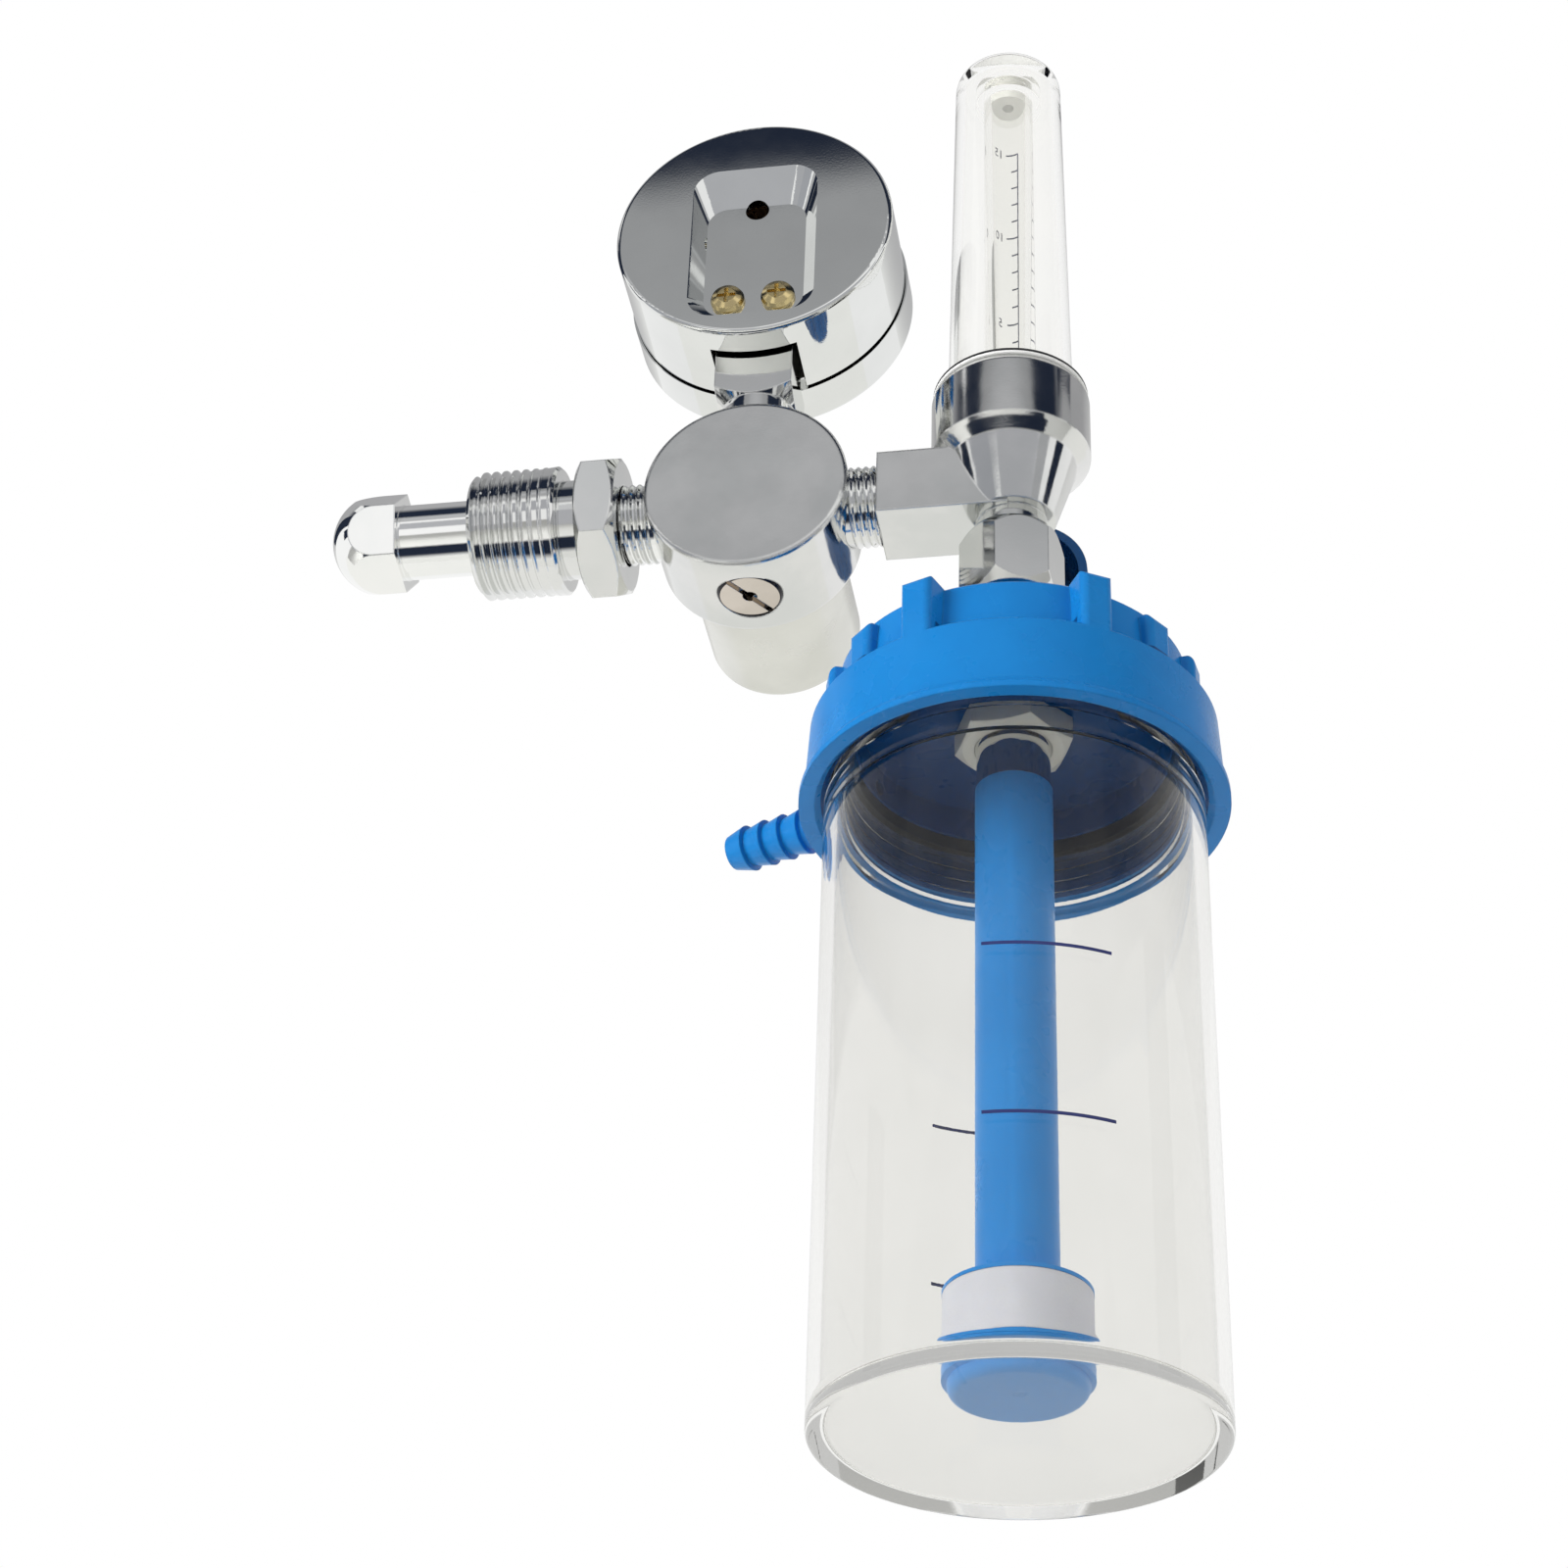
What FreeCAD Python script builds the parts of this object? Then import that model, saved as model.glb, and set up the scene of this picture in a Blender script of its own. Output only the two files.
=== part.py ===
import FreeCAD, Part
import math
import os
import Sketcher

# Float type oxygen regulator: gland inlet, pressure gauge, preset regulator, flowmeter, humidifier
# Millimetres, +Z up. The origin is on the inlet's axis, at the middle of the gland nut's thread,
# and +X runs along the inlet towards the flowmeter. The gauge is read from +Y.

os.makedirs("parts", exist_ok=True)
doc = FreeCAD.newDocument("OxygenRegulator")
sheet = doc.addObject("Spreadsheet::Sheet", "Sizes")

sizes = {
    # clearances
    "fitGap": 0.05,
    "runGap": 0.1,
    "restGap": 0.3,
    # inlet nipple and gland nut, lengths along the inlet
    "gasBore": 2.2,
    "noseFlats": 16.2,
    "noseDome": 9.3,
    "noseHexLength": 4.0,
    "noseBack": 21.5,
    "stemRadius": 6.7,
    "filterLength": 7.0,
    "portThread": 6.8,
    "threadRun": 4.6,
    "threadDepth": 0.7,
    "nutThread": 11.455,
    "nutThreadLength": 15.8,
    "nutLeadIn": 1.1,
    "nutNeck": 8.8,
    "nutNeckLength": 3.6,
    "nutFlats": 24.0,
    "nutHexLength": 7.2,
    # regulator body, lengths along Y
    "bodyOffset": 41.6,
    "bodyRadius": 18.0,
    "bodyBack": 9.7,
    "bodyFront": 9.5,
    "bodyEdge": 0.8,
    "portDepth": 6.4,
    "cavityRadius": 11.0,
    "cavityDepth": 6.7,
    "chamberRadius": 6.5,
    "chamberFloor": 3.0,
    "nozzleRadius": 3.6,
    "nozzleDepth": 4.0,
    "nozzleCrown": 1.2,
    "nozzleBore": 0.8,
    "pocketRadius": 2.4,
    "pocketDepth": 1.2,
    "passage": 1.4,
    "outletBore": 2.6,
    # bonnet and the piston inside it
    "bonnetRadius": 13.9,
    "bonnetLength": 26.1,
    "bonnetEdge": 1.2,
    "bonnetBore": 9.3,
    "bonnetEnd": 3.2,
    "ventRadius": 0.8,
    "guideLength": 3.2,
    "pistonStem": 2.9,
    "pistonHead": 5.0,
    "pistonTravel": 0.8,
    "padLength": 1.2,
    "padRadius": 1.9,
    "ringSection": 0.9,
    "springWire": 0.6,
    "springMean": 6.6,
    "springTurns": 6.0,
    # relief valve under the body
    "reliefRadius": 5.7,
    "reliefDepth": 6.4,
    "reliefSeat": 1.3,
    "reliefPoppet": 3.2,
    "reliefPoppetLength": 1.4,
    "reliefScrewLength": 2.2,
    "reliefScrewSink": 0.3,
    "reliefSlot": 1.1,
    "reliefSlotDepth": 1.1,
    "reliefWire": 0.3,
    "reliefTurns": 2.5,
    # pressure gauge
    "gaugeHeight": 57.2,
    "gaugeRadius": 25.6,
    "gaugeBack": 13.2,
    "gaugeSeam": 4.0,
    "gaugeWall": 0.9,
    "gaugeRim": 0.9,
    "seamGap": 0.5,
    "bezelRadius": 26.0,
    "bezelEdge": 1.0,
    "bezelDepth": 8.6,
    "bezelSight": 23.0,
    "bezelLip": 1.2,
    "windowThickness": 1.6,
    "dialThickness": 0.6,
    "dialSet": 2.0,
    "recessHalf": 11.6,
    "recessFoot": 21.0,
    "recessTop": 14.6,
    "recessSlope": 2.4,
    "recessRamp": 7.0,
    "recessDepth": 3.0,
    "recessCorner": 5.0,
    "caseVent": 2.2,
    "caseVentHeight": 6.6,
    "socketFlats": 14.0,
    "socketFoot": 22.7,
    "socketDrop": 13.0,
    "socketChamfer": 2.4,
    "socketBore": 1.5,
    "socketSlot": 0.3,
    "notchGap": 0.9,
    "caseScrewSpan": 9.2,
    "caseScrewDrop": 15.3,
    "caseScrewHead": 3.1,
    "caseScrewRise": 1.9,
    "caseScrewShank": 1.5,
    "caseScrewLength": 4.2,
    "bourdonRadius": 17.2,
    "bourdonWide": 6.4,
    "bourdonThick": 1.8,
    "plateHalf": 9.0,
    "plateThickness": 1.0,
    "plateGap": 4.0,
    "arborRadius": 0.6,
    "pinionRadius": 1.2,
    "pinionTeeth": 12.0,
    "sectorRatio": 6.0,
    "sectorThickness": 1.2,
    "sectorSweep": 45.0,
    "sectorTail": 5.0,
    "linkWidth": 1.4,
    "linkThickness": 0.5,
    "pointerReach": 18.5,
    "pointerTail": 6.5,
    "pointerWidth": 1.4,
    "pointerThickness": 0.5,
    "pointerHub": 2.2,
    # flowmeter body, levels from the inlet axis
    "flowOffset": 87.1,
    "blockDeep": 14.0,
    "blockHigh": 13.0,
    "blockStart": 64.3,
    "cupRadius": 14.0,
    "cupFoot": 7.7,
    "cupTop": 21.1,
    "cupWall": 2.4,
    "cupUnder": 2.0,
    "coneTop": 11.5,
    "coneFoot": 7.7,
    "coneBottom": 6.1,
    "neckRadius": 6.0,
    "neckLength": 3.4,
    "spigotRadius": 6.2,
    "spigotLength": 8.0,
    "flowBore": 1.8,
    "seatBore": 6.0,
    "seatDepth": 4.6,
    "bossRadius": 6.4,
    "bossLength": 6.6,
    # needle valve
    "needleRadius": 2.0,
    "needleTip": 0.5,
    "needleTaper": 6.0,
    "needleReach": 3.4,
    "needleEnd": 33.0,
    "packingRadius": 4.2,
    "packingLength": 2.4,
    "packingNutFlats": 12.0,
    "packingNutLength": 6.0,
    "knobRadius": 11.3,
    "knobBack": 22.3,
    "knobLength": 14.0,
    "knobWall": 1.6,
    "knobHub": 4.2,
    "knobFace": 2.6,
    "knobFlute": 1.6,
    "knobFlutes": 12.0,
    "knobScrewHead": 2.8,
    "knobScrewShank": 1.1,
    "knobScrewLength": 6.0,
    # flow tubes
    "coverFoot": 11.1,
    "coverTip": 9.9,
    "coverWall": 1.5,
    "coverTop": 101.0,
    "coverRound": 3.0,
    "coverRoof": 3.2,
    "coverSocket": 3.6,
    "tubeRadius": 4.6,
    "tubeBoreFoot": 2.5,
    "tubeBoreTop": 3.3,
    "sealWall": 1.2,
    "sealLength": 3.2,
    "ballRadius": 2.4,
    "ballRest": 22.0,
    "stopLength": 4.0,
    # union nut and humidifier stem
    "unionFlats": 16.0,
    "unionTop": 9.9,
    "unionLength": 13.9,
    "unionChamfer": 2.3,
    "unionLip": 2.4,
    "stemHead": 3.4,
    "stemShank": 5.4,
    "stemCollar": 10.0,
    "stemCollarLength": 4.0,
    "stemThread": 6.4,
    "socketOuter": 6.1,
    "stemBore": 2.4,
    "tailRadius": 4.6,
    "tailLength": 9.0,
    "lockFlats": 17.4,
    "lockLength": 4.6,
    # cap, levels up from its lip
    "capLevel": 65.6,
    "capRadius": 34.3,
    "capLipRadius": 35.1,
    "capLipHeight": 2.2,
    "capSkirt": 14.8,
    "capCrown": 29.6,
    "capCrownTop": 25.4,
    "capCrownWall": 3.0,
    "capRoofUnder": 16.2,
    "capRoof": 3.4,
    "capWall": 2.6,
    "capLedge": 10.4,
    "capThroat": 26.0,
    "capThreadDepth": 0.9,
    "ribCount": 14.0,
    "ribGapTurn": -86.2,
    "ribWidth": 5.4,
    "ribTop": 25.1,
    "lowRibRadius": 31.2,
    "lowRibTop": 23.4,
    "ribRound": 1.2,
    "gasketInner": 26.4,
    "gasketOuter": 29.8,
    "gasketThickness": 2.4,
    # barbed outlet on the cap
    "barbLevel": 8.4,
    "barbTurn": 158.0,
    "barbReach": 54.2,
    "barbRoot": 3.2,
    "barbCrest": 4.0,
    "barbTip": 3.0,
    "barbPitch": 3.7,
    "barbCount": 4.0,
    "barbBore": 1.7,
    "passageLevel": 12.6,
    "passageRadius": 1.3,
    # bottle
    "bottleRadius": 31.0,
    "bottleWall": 2.2,
    "bottleHeight": 108.9,
    "bottleFloor": 3.2,
    "bottleFoot": 28.5,
    "bottleFootHeight": 2.6,
    "bottleNeck": 30.2,
    "bottleNeckWall": 2.6,
    "bottleNeckTop": 7.8,
    "bottleShoulder": 1.2,
    # dip tube and diffuser
    "dipRadius": 6.35,
    "dipTop": 3.4,
    "diffuserShoulder": 84.6,
    "diffuserRadius": 11.3,
    "diffuserRim": 1.8,
    "sleeveTop": 86.4,
    "sleeveLength": 9.6,
    "sleeveBore": 8.2,
    "diffuserEnd": 100.2,
    "diffuserCap": 10.5,
    "diffuserRound": 1.6,
    "diffuserCore": 4.4,
}

# turns in degrees: how the hexagons, slots and hands stand
angles = {
    "noseHex": 19.0,
    "glandHex": 40.0,
    "glandChamfer": 32.0,
    "packingHex": 30.0,
    "packingChamfer": 30.0,
    "unionHex": -12.0,
    "lockHex": 22.0,
    "lockChamfer": 24.0,
    "reliefSlot": 55.0,
    "tubeBend": 250.0,
    "tubeTip": 96.0,
    "sectorFan": 29.0,
    "pointerRest": 45.0,
}

for row, (alias, number) in enumerate(sizes.items(), 1):
    sheet.set("A%d" % row, alias)
    sheet.set("B%d" % row, str(number))
    sheet.setAlias("B%d" % row, alias)
doc.recompute()


class Size:
    # a length that knows both its number and the expression that gives it
    def __init__(self, value, text):
        self.value = value
        self.text = text

    def __add__(self, other):
        return Size(self.value + other.value, "(%s + %s)" % (self.text, other.text))

    def __sub__(self, other):
        return Size(self.value - other.value, "(%s - %s)" % (self.text, other.text))

    def __mul__(self, factor):
        return Size(self.value * factor, "(%s * %.9f)" % (self.text, factor))

    def __truediv__(self, factor):
        return Size(self.value / factor, "(%s / %.9f)" % (self.text, factor))

    def __neg__(self):
        return Size(-self.value, "(0 - %s)" % self.text)


class Sizes:
    # mm.bodyRadius is the size of that name in the sheet
    def __getattr__(self, alias):
        return Size(sizes[alias], "Sizes.%s" % alias)


mm = Sizes()
zero = Size(0.0, "0")
near = 0.001
full = 360.0
hexCorner = 1 / math.sqrt(3)
hexRound = 0.48
hexReach = 0.62

# a piece is drawn about its own Z axis and then laid along one of these
turns = {
    "X": FreeCAD.Rotation(FreeCAD.Vector(0, 1, 0), 90),
    "Y": FreeCAD.Rotation(FreeCAD.Vector(1, 0, 0), -90),
    "Z": FreeCAD.Rotation(),
}


def bind(item, **values):
    for name, value in values.items():
        item.setExpression(name, value.text)
    return item


def lay(item, axis="Z", x=zero, y=zero, z=zero, spin=0.0):
    rotation = turns[axis].multiply(FreeCAD.Rotation(FreeCAD.Vector(0, 0, 1), spin))
    item.Placement = FreeCAD.Placement(FreeCAD.Vector(x.value, y.value, z.value), rotation)
    item.setExpression("Placement.Base.x", x.text)
    item.setExpression("Placement.Base.y", y.text)
    item.setExpression("Placement.Base.z", z.text)
    return item


def rod(name, radius, length, axis="Z", x=zero, y=zero, z=zero):
    item = doc.addObject("Part::Cylinder", name)
    bind(item, Radius=radius, Height=length)
    return lay(item, axis, x, y, z)


def block(name, length, width, height, x, y, z):
    item = doc.addObject("Part::Box", name)
    bind(item, Length=length, Width=width, Height=height)
    return lay(item, "Z", x, y, z)


def hexRod(name, flats, length, axis="Z", x=zero, y=zero, z=zero, spin=0.0):
    item = doc.addObject("Part::Prism", name)
    item.Polygon = 6
    bind(item, Circumradius=flats * hexCorner, Height=length)
    return lay(item, axis, x, y, z, spin)


def fused(name, *items):
    item = doc.addObject("Part::MultiFuse", name)
    item.Shapes = list(items)
    item.Refine = True
    return item


def shared(name, *items):
    item = doc.addObject("Part::MultiCommon", name)
    item.Shapes = list(items)
    return item


def cut(name, base, *tools):
    item = doc.addObject("Part::Cut", name)
    item.Base = base
    item.Tool = tools[0] if len(tools) == 1 else fused(name + "Tools", *tools)
    return item


def originPlane(body, role):
    for feature in body.Origin.OriginFeatures:
        if feature.Role == role:
            return feature
    raise ValueError("no origin plane " + role)


def newBody(name, axis="Z", x=zero, y=zero, z=zero, spin=0.0):
    body = doc.addObject("PartDesign::Body", name)
    return lay(body, axis, x, y, z, spin)


def newSketch(body, name, role, level=zero):
    sketch = body.newObject("Sketcher::SketchObject", name)
    sketch.AttachmentSupport = [(originPlane(body, role), "")]
    sketch.MapMode = "FlatFace"
    sketch.setExpression("AttachmentOffset.Base.z", level.text)
    return sketch


def holdPoint(sketch, line, across, up):
    for size, kind, axisLine in ((across, "DistanceX", -2), (up, "DistanceY", -1)):
        if size is zero:
            sketch.addConstraint(Sketcher.Constraint("PointOnObject", line, 1, axisLine))
            continue
        index = sketch.addConstraint(Sketcher.Constraint(kind, -1, 1, line, 1, size.value))
        sketch.setExpression("Constraints[%d]" % index, size.text)


def drawOutline(sketch, points):
    first = sketch.GeometryCount
    corners = [FreeCAD.Vector(across.value, up.value, 0) for across, up in points]
    count = len(corners)
    for index, corner in enumerate(corners):
        sketch.addGeometry(Part.LineSegment(corner, corners[(index + 1) % count]), False)
    for index in range(count):
        following = first + (index + 1) % count
        sketch.addConstraint(Sketcher.Constraint("Coincident", first + index, 2, following, 1))
    for index, (across, up) in enumerate(points):
        holdPoint(sketch, first + index, across, up)


def drawRound(sketch, radius):
    circle = sketch.addGeometry(Part.Circle(FreeCAD.Vector(), FreeCAD.Vector(0, 0, 1), radius.value), False)
    sketch.addConstraint(Sketcher.Constraint("Coincident", circle, 3, -1, 1))
    index = sketch.addConstraint(Sketcher.Constraint("Radius", circle, radius.value))
    sketch.setExpression("Constraints[%d]" % index, radius.text)


def revolve(body, name, points, kind="PartDesign::Revolution", angle=full):
    # points are (radius, height) pairs round the body's own Z axis
    sketch = newSketch(body, name + "Profile", "XZ_Plane")
    drawOutline(sketch, points)
    feature = body.newObject(kind, name)
    feature.Profile = sketch
    feature.ReferenceAxis = (sketch, ["V_Axis"])
    feature.Angle = angle
    body.Tip = feature
    return feature


def turned(name, points, axis="Z", x=zero, y=zero, z=zero, spin=0.0):
    body = newBody(name, axis, x, y, z, spin)
    revolve(body, name + "Turned", points)
    return body


def hexPad(body, name, flats, level, length, bore=None):
    corner = flats * hexCorner
    points = []
    for index in range(6):
        angle = math.radians(60 * index + 30)
        points.append((corner * math.cos(angle), corner * math.sin(angle)))
    sketch = newSketch(body, name + "Hexagon", "XY_Plane", level)
    drawOutline(sketch, points)
    if bore is not None:
        drawRound(sketch, bore)
    pad = body.newObject("PartDesign::Pad", name)
    pad.Profile = sketch
    pad.setExpression("Length", length.text)
    body.Tip = pad
    return pad


def hexChamfer(body, name, flats, level, depth):
    # the corners of a hexagon run down to a circle just inside the flats; depth < 0 faces down
    inner = flats * hexRound
    outer = flats * hexReach
    run = depth * ((hexReach - hexRound) / (hexCorner - hexRound))
    revolve(body, name, [(inner, level), (outer, level), (outer, level - run)], "PartDesign::Groove")


def roundCorners(body, name, radius, circleRadius, level):
    # rounds the circular edges of one radius at one height of the body
    doc.recompute()
    base = body.Tip
    edges = []
    for number, edge in enumerate(base.Shape.Edges, 1):
        curve = edge.Curve
        if not isinstance(curve, Part.Circle):
            continue
        sameSize = abs(curve.Radius - circleRadius.value) < near
        if sameSize and abs(curve.Center.z - level.value) < near:
            edges.append("Edge%d" % number)
    fillet = body.newObject("PartDesign::Fillet", name)
    fillet.Base = (base, edges)
    fillet.setExpression("Radius", radius.text)
    body.Tip = fillet
    return fillet


def roundedBox(sketch, left, right, low, high, corner):
    # four sides and four corner arcs, each arc's ends and middle held by the same sizes
    spots = [
        (right, high, -1, -1, 0.0),
        (left, high, 1, -1, 90.0),
        (left, low, 1, 1, 180.0),
        (right, low, -1, 1, 270.0),
    ]
    first = sketch.GeometryCount
    for across, up, inX, inY, start in spots:
        middle = FreeCAD.Vector(across.value + inX * corner.value, up.value + inY * corner.value, 0)
        circle = Part.Circle(middle, FreeCAD.Vector(0, 0, 1), corner.value)
        begin = math.radians(start)
        sketch.addGeometry(Part.ArcOfCircle(circle, begin, begin + math.pi / 2), False)
    for index in range(4):
        following = (index + 1) % 4
        ends = (sketch.Geometry[first + index].EndPoint, sketch.Geometry[first + following].StartPoint)
        sketch.addGeometry(Part.LineSegment(*ends), False)
    for index, (across, up, inX, inY, start) in enumerate(spots):
        arc = first + index
        side = first + 4 + index
        following = first + (index + 1) % 4
        sketch.addConstraint(Sketcher.Constraint("Tangent", arc, 2, side, 1))
        sketch.addConstraint(Sketcher.Constraint("Tangent", side, 2, following, 1))
        for kind, place, inward in (("DistanceX", across, inX), ("DistanceY", up, inY)):
            centre = place + corner * float(inward)
            number = sketch.addConstraint(Sketcher.Constraint(kind, -1, 1, arc, 3, centre.value))
            sketch.setExpression("Constraints[%d]" % number, centre.text)
    number = sketch.addConstraint(Sketcher.Constraint("Radius", first, corner.value))
    sketch.setExpression("Constraints[%d]" % number, corner.text)


def coil(name, mean, wire, length, turnCount, axis, x, y, z):
    # a round wire swept along a helix, with its ends half a wire inside the length
    rise = length - wire * 2.0
    helix = doc.addObject("Part::Helix", name + "Helix")
    helix.setExpression("Radius", mean.text)
    helix.setExpression("Height", rise.text)
    helix.setExpression("Pitch", "(%s) / %s" % (rise.text, turnCount.text))
    lay(helix, axis, x, y, z)
    section = doc.addObject("Part::Circle", name + "Section")
    section.setExpression("Radius", wire.text)
    tilt = FreeCAD.Rotation(FreeCAD.Vector(1, 0, 0), 90)
    away = turns[axis].multVec(FreeCAD.Vector(mean.value, 0, 0))
    spot = FreeCAD.Vector(x.value, y.value, z.value).add(away)
    section.Placement = FreeCAD.Placement(spot, turns[axis].multiply(tilt))
    section.setExpression("Placement.Base.x", (x + mean).text)
    section.setExpression("Placement.Base.y", y.text)
    section.setExpression("Placement.Base.z", z.text)
    sweep = doc.addObject("Part::Sweep", name)
    sweep.Sections = [section]
    sweep.Spine = (helix, ["Edge1"])
    sweep.Solid = True
    sweep.Frenet = True
    return sweep


nodes = {}


def node(label, item):
    item.Label = label
    nodes[label] = item
    return item


# Inlet nipple: hexagonal nose with a domed end, plain stem, threaded tail in the body
noseTip = mm.noseBack + mm.noseHexLength + mm.noseDome
bodyLeft = mm.bodyOffset - mm.bodyRadius
bodyRight = mm.bodyOffset + mm.bodyRadius
tailStart = bodyLeft - mm.threadRun
tailEnd = bodyLeft + mm.portDepth - mm.fitGap


def inletNipple():
    domeMiddle = -(mm.noseBack + mm.noseHexLength)
    dome = doc.addObject("Part::Sphere", "noseSphere")
    bind(dome, Radius=mm.noseDome)
    lay(dome, "X", domeMiddle)
    barrel = rod("noseBarrel", mm.noseDome, mm.noseHexLength, "X", domeMiddle)
    hexagon = hexRod("noseHexagon", mm.noseFlats, mm.noseHexLength + mm.noseDome, "X", -noseTip, spin=angles["noseHex"])
    nose = shared("nose", fused("noseRound", dome, barrel), hexagon)
    stem = turned("nippleStem", [
        (zero, -(mm.noseBack + mm.noseHexLength)),
        (mm.stemRadius, -(mm.noseBack + mm.noseHexLength)),
        (mm.stemRadius, tailStart),
        (mm.portThread - mm.threadDepth, tailStart),
        (mm.portThread, tailStart + mm.threadDepth),
        (mm.portThread, tailEnd - mm.threadDepth),
        (mm.portThread - mm.threadDepth, tailEnd),
        (zero, tailEnd),
    ], "X")
    bore = rod("nippleBore", mm.gasBore, noseTip + tailEnd + mm.restGap * 2.0, "X", -(noseTip + mm.restGap))
    return node("inlet_nipple", cut("inletNipple", fused("nippleSolid", nose, stem), bore))


def inletFilter():
    # sintered bronze plug pressed into the nose
    start = -(noseTip - mm.noseDome * 0.2)
    plug = rod("inletFilter", mm.gasBore - mm.fitGap / 2.0, mm.filterLength, "X", start)
    return node("inlet_filter", plug)


def glandNut():
    bore = mm.portThread + mm.runGap
    hexStart = mm.nutThreadLength + mm.nutNeckLength
    hexEnd = hexStart + mm.nutHexLength
    face = -(mm.nutThreadLength / 2.0)
    body = turned("glandNut", [
        (bore, zero),
        (mm.nutThread - mm.nutLeadIn, zero),
        (mm.nutThread, mm.nutLeadIn),
        (mm.nutThread, mm.nutThreadLength - mm.nutLeadIn / 2.0),
        (mm.nutThread - mm.nutLeadIn / 2.0, mm.nutThreadLength),
        (mm.nutNeck, mm.nutThreadLength),
        (mm.nutNeck, hexEnd),
        (bore, hexEnd),
    ], "X", face, spin=angles["glandHex"])
    hexPad(body, "glandHex", mm.nutFlats, hexStart, mm.nutHexLength, mm.nutNeck - mm.restGap)
    chamfer = mm.nutFlats * (hexCorner - hexRound) * math.tan(math.radians(angles["glandChamfer"]))
    hexChamfer(body, "glandChamferBack", mm.nutFlats, hexStart, -chamfer)
    hexChamfer(body, "glandChamferFront", mm.nutFlats, hexEnd, chamfer)
    return node("gland_nut", body)


# Regulator body: a short cylinder across the inlet, with four threaded ports round it
ledge = mm.bodyFront - mm.cavityDepth
nozzleFloor = -(mm.chamberFloor + mm.nozzleDepth)
pocketFloor = nozzleFloor - mm.pocketDepth


def regulatorBody():
    shell = turned("bodyShell", [
        (zero, -mm.bodyBack),
        (mm.bodyRadius, -mm.bodyBack),
        (mm.bodyRadius, mm.bodyFront),
        (mm.cavityRadius, mm.bodyFront),
        (mm.cavityRadius, ledge),
        (mm.chamberRadius, ledge),
        (mm.chamberRadius, -mm.chamberFloor),
        (mm.nozzleRadius, -mm.chamberFloor),
        (mm.nozzleRadius, nozzleFloor),
        (mm.pocketRadius, nozzleFloor),
        (mm.pocketRadius, pocketFloor),
        (zero, pocketFloor),
    ], "Y", mm.bodyOffset)
    roundCorners(shell, "bodyBackEdge", mm.bodyEdge, mm.bodyRadius, -mm.bodyBack)
    roundCorners(shell, "bodyFrontEdge", mm.bodyEdge, mm.bodyRadius, mm.bodyFront)
    port = mm.portThread + mm.fitGap
    reach = mm.portDepth + mm.restGap
    inlet = rod("inletPort", port, reach, "X", bodyLeft - mm.restGap)
    outlet = rod("outletPort", port, reach, "X", bodyRight - mm.portDepth)
    gauge = rod("gaugePort", port, reach, "Z", mm.bodyOffset, z=mm.bodyRadius - mm.portDepth)
    relief = rod("reliefPort", mm.reliefRadius, mm.reliefDepth + mm.restGap, "Z", mm.bodyOffset,
                 z=-(mm.bodyRadius + mm.restGap))
    supply = slantBore("supplyBore", mm.passage, -(mm.bodyRadius - mm.portDepth))
    reading = slantBore("readingBore", mm.passage, mm.bodyRadius - mm.portDepth, upward=True)
    delivery = rod("deliveryBore", mm.outletBore, mm.bodyRadius - mm.portDepth, "X", mm.bodyOffset)
    escape = rod("escapeBore", mm.reliefSeat, mm.bodyRadius - mm.reliefDepth, "Z", mm.bodyOffset,
                 z=-(mm.bodyRadius - mm.reliefDepth))
    tools = [inlet, outlet, gauge, relief, supply, reading, delivery, escape]
    return node("regulator_body", cut("regulatorBody", shell, *tools))


def slantBore(name, radius, away, upward=False):
    # high-pressure drilling from the floor of a port down to the pocket behind the nozzle
    depth = (nozzleFloor + pocketFloor) / 2.0
    lean = math.degrees(math.atan2(-depth.value, abs(away.value)))
    span = Size(math.hypot(depth.value, away.value), "sqrt((%s)^2 + (%s)^2)" % (depth.text, away.text))
    angle = "atan2(-1 * (%s); abs(%s))" % (depth.text, away.text)
    item = doc.addObject("Part::Cylinder", name)
    bind(item, Radius=radius, Height=span)
    middle = FreeCAD.Vector(mm.bodyOffset.value, depth.value, 0)
    if upward:
        item.Placement = FreeCAD.Placement(middle, FreeCAD.Rotation(FreeCAD.Vector(1, 0, 0), -lean))
        item.setExpression("Placement.Rotation.Angle", "-1 * " + angle)
    else:
        turn = FreeCAD.Rotation(FreeCAD.Vector(away.value, -depth.value, 0), FreeCAD.Vector(0, 0, 1)).inverted()
        item.Placement = FreeCAD.Placement(middle, turn)
    item.setExpression("Placement.Base.x", mm.bodyOffset.text)
    item.setExpression("Placement.Base.y", depth.text)
    return item


def seatNozzle():
    radius = mm.nozzleRadius - mm.fitGap
    top = mm.nozzleCrown - mm.chamberFloor
    body = turned("seatNozzle", [
        (mm.nozzleBore, nozzleFloor),
        (radius, nozzleFloor),
        (radius, -mm.chamberFloor),
        (mm.padRadius, -mm.chamberFloor),
        (mm.nozzleBore + mm.restGap, top),
        (mm.nozzleBore, top),
    ], "Y", mm.bodyOffset)
    return node("seat_nozzle", body)


guideBack = ledge
guideFront = ledge + mm.guideLength
bonnetFront = mm.bodyFront + mm.bonnetLength
headFront = bonnetFront - mm.bonnetEnd - mm.restGap
headBack = headFront - mm.pistonHead
padBack = mm.nozzleCrown - mm.chamberFloor + mm.pistonTravel


def springGuide():
    outer = mm.bonnetBore - mm.fitGap
    body = turned("springGuide", [
        (mm.pistonStem + mm.fitGap, guideBack),
        (outer, guideBack),
        (outer, guideFront),
        (mm.pistonStem + mm.fitGap, guideFront),
    ], "Y", mm.bodyOffset)
    return node("spring_guide", body)


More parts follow.
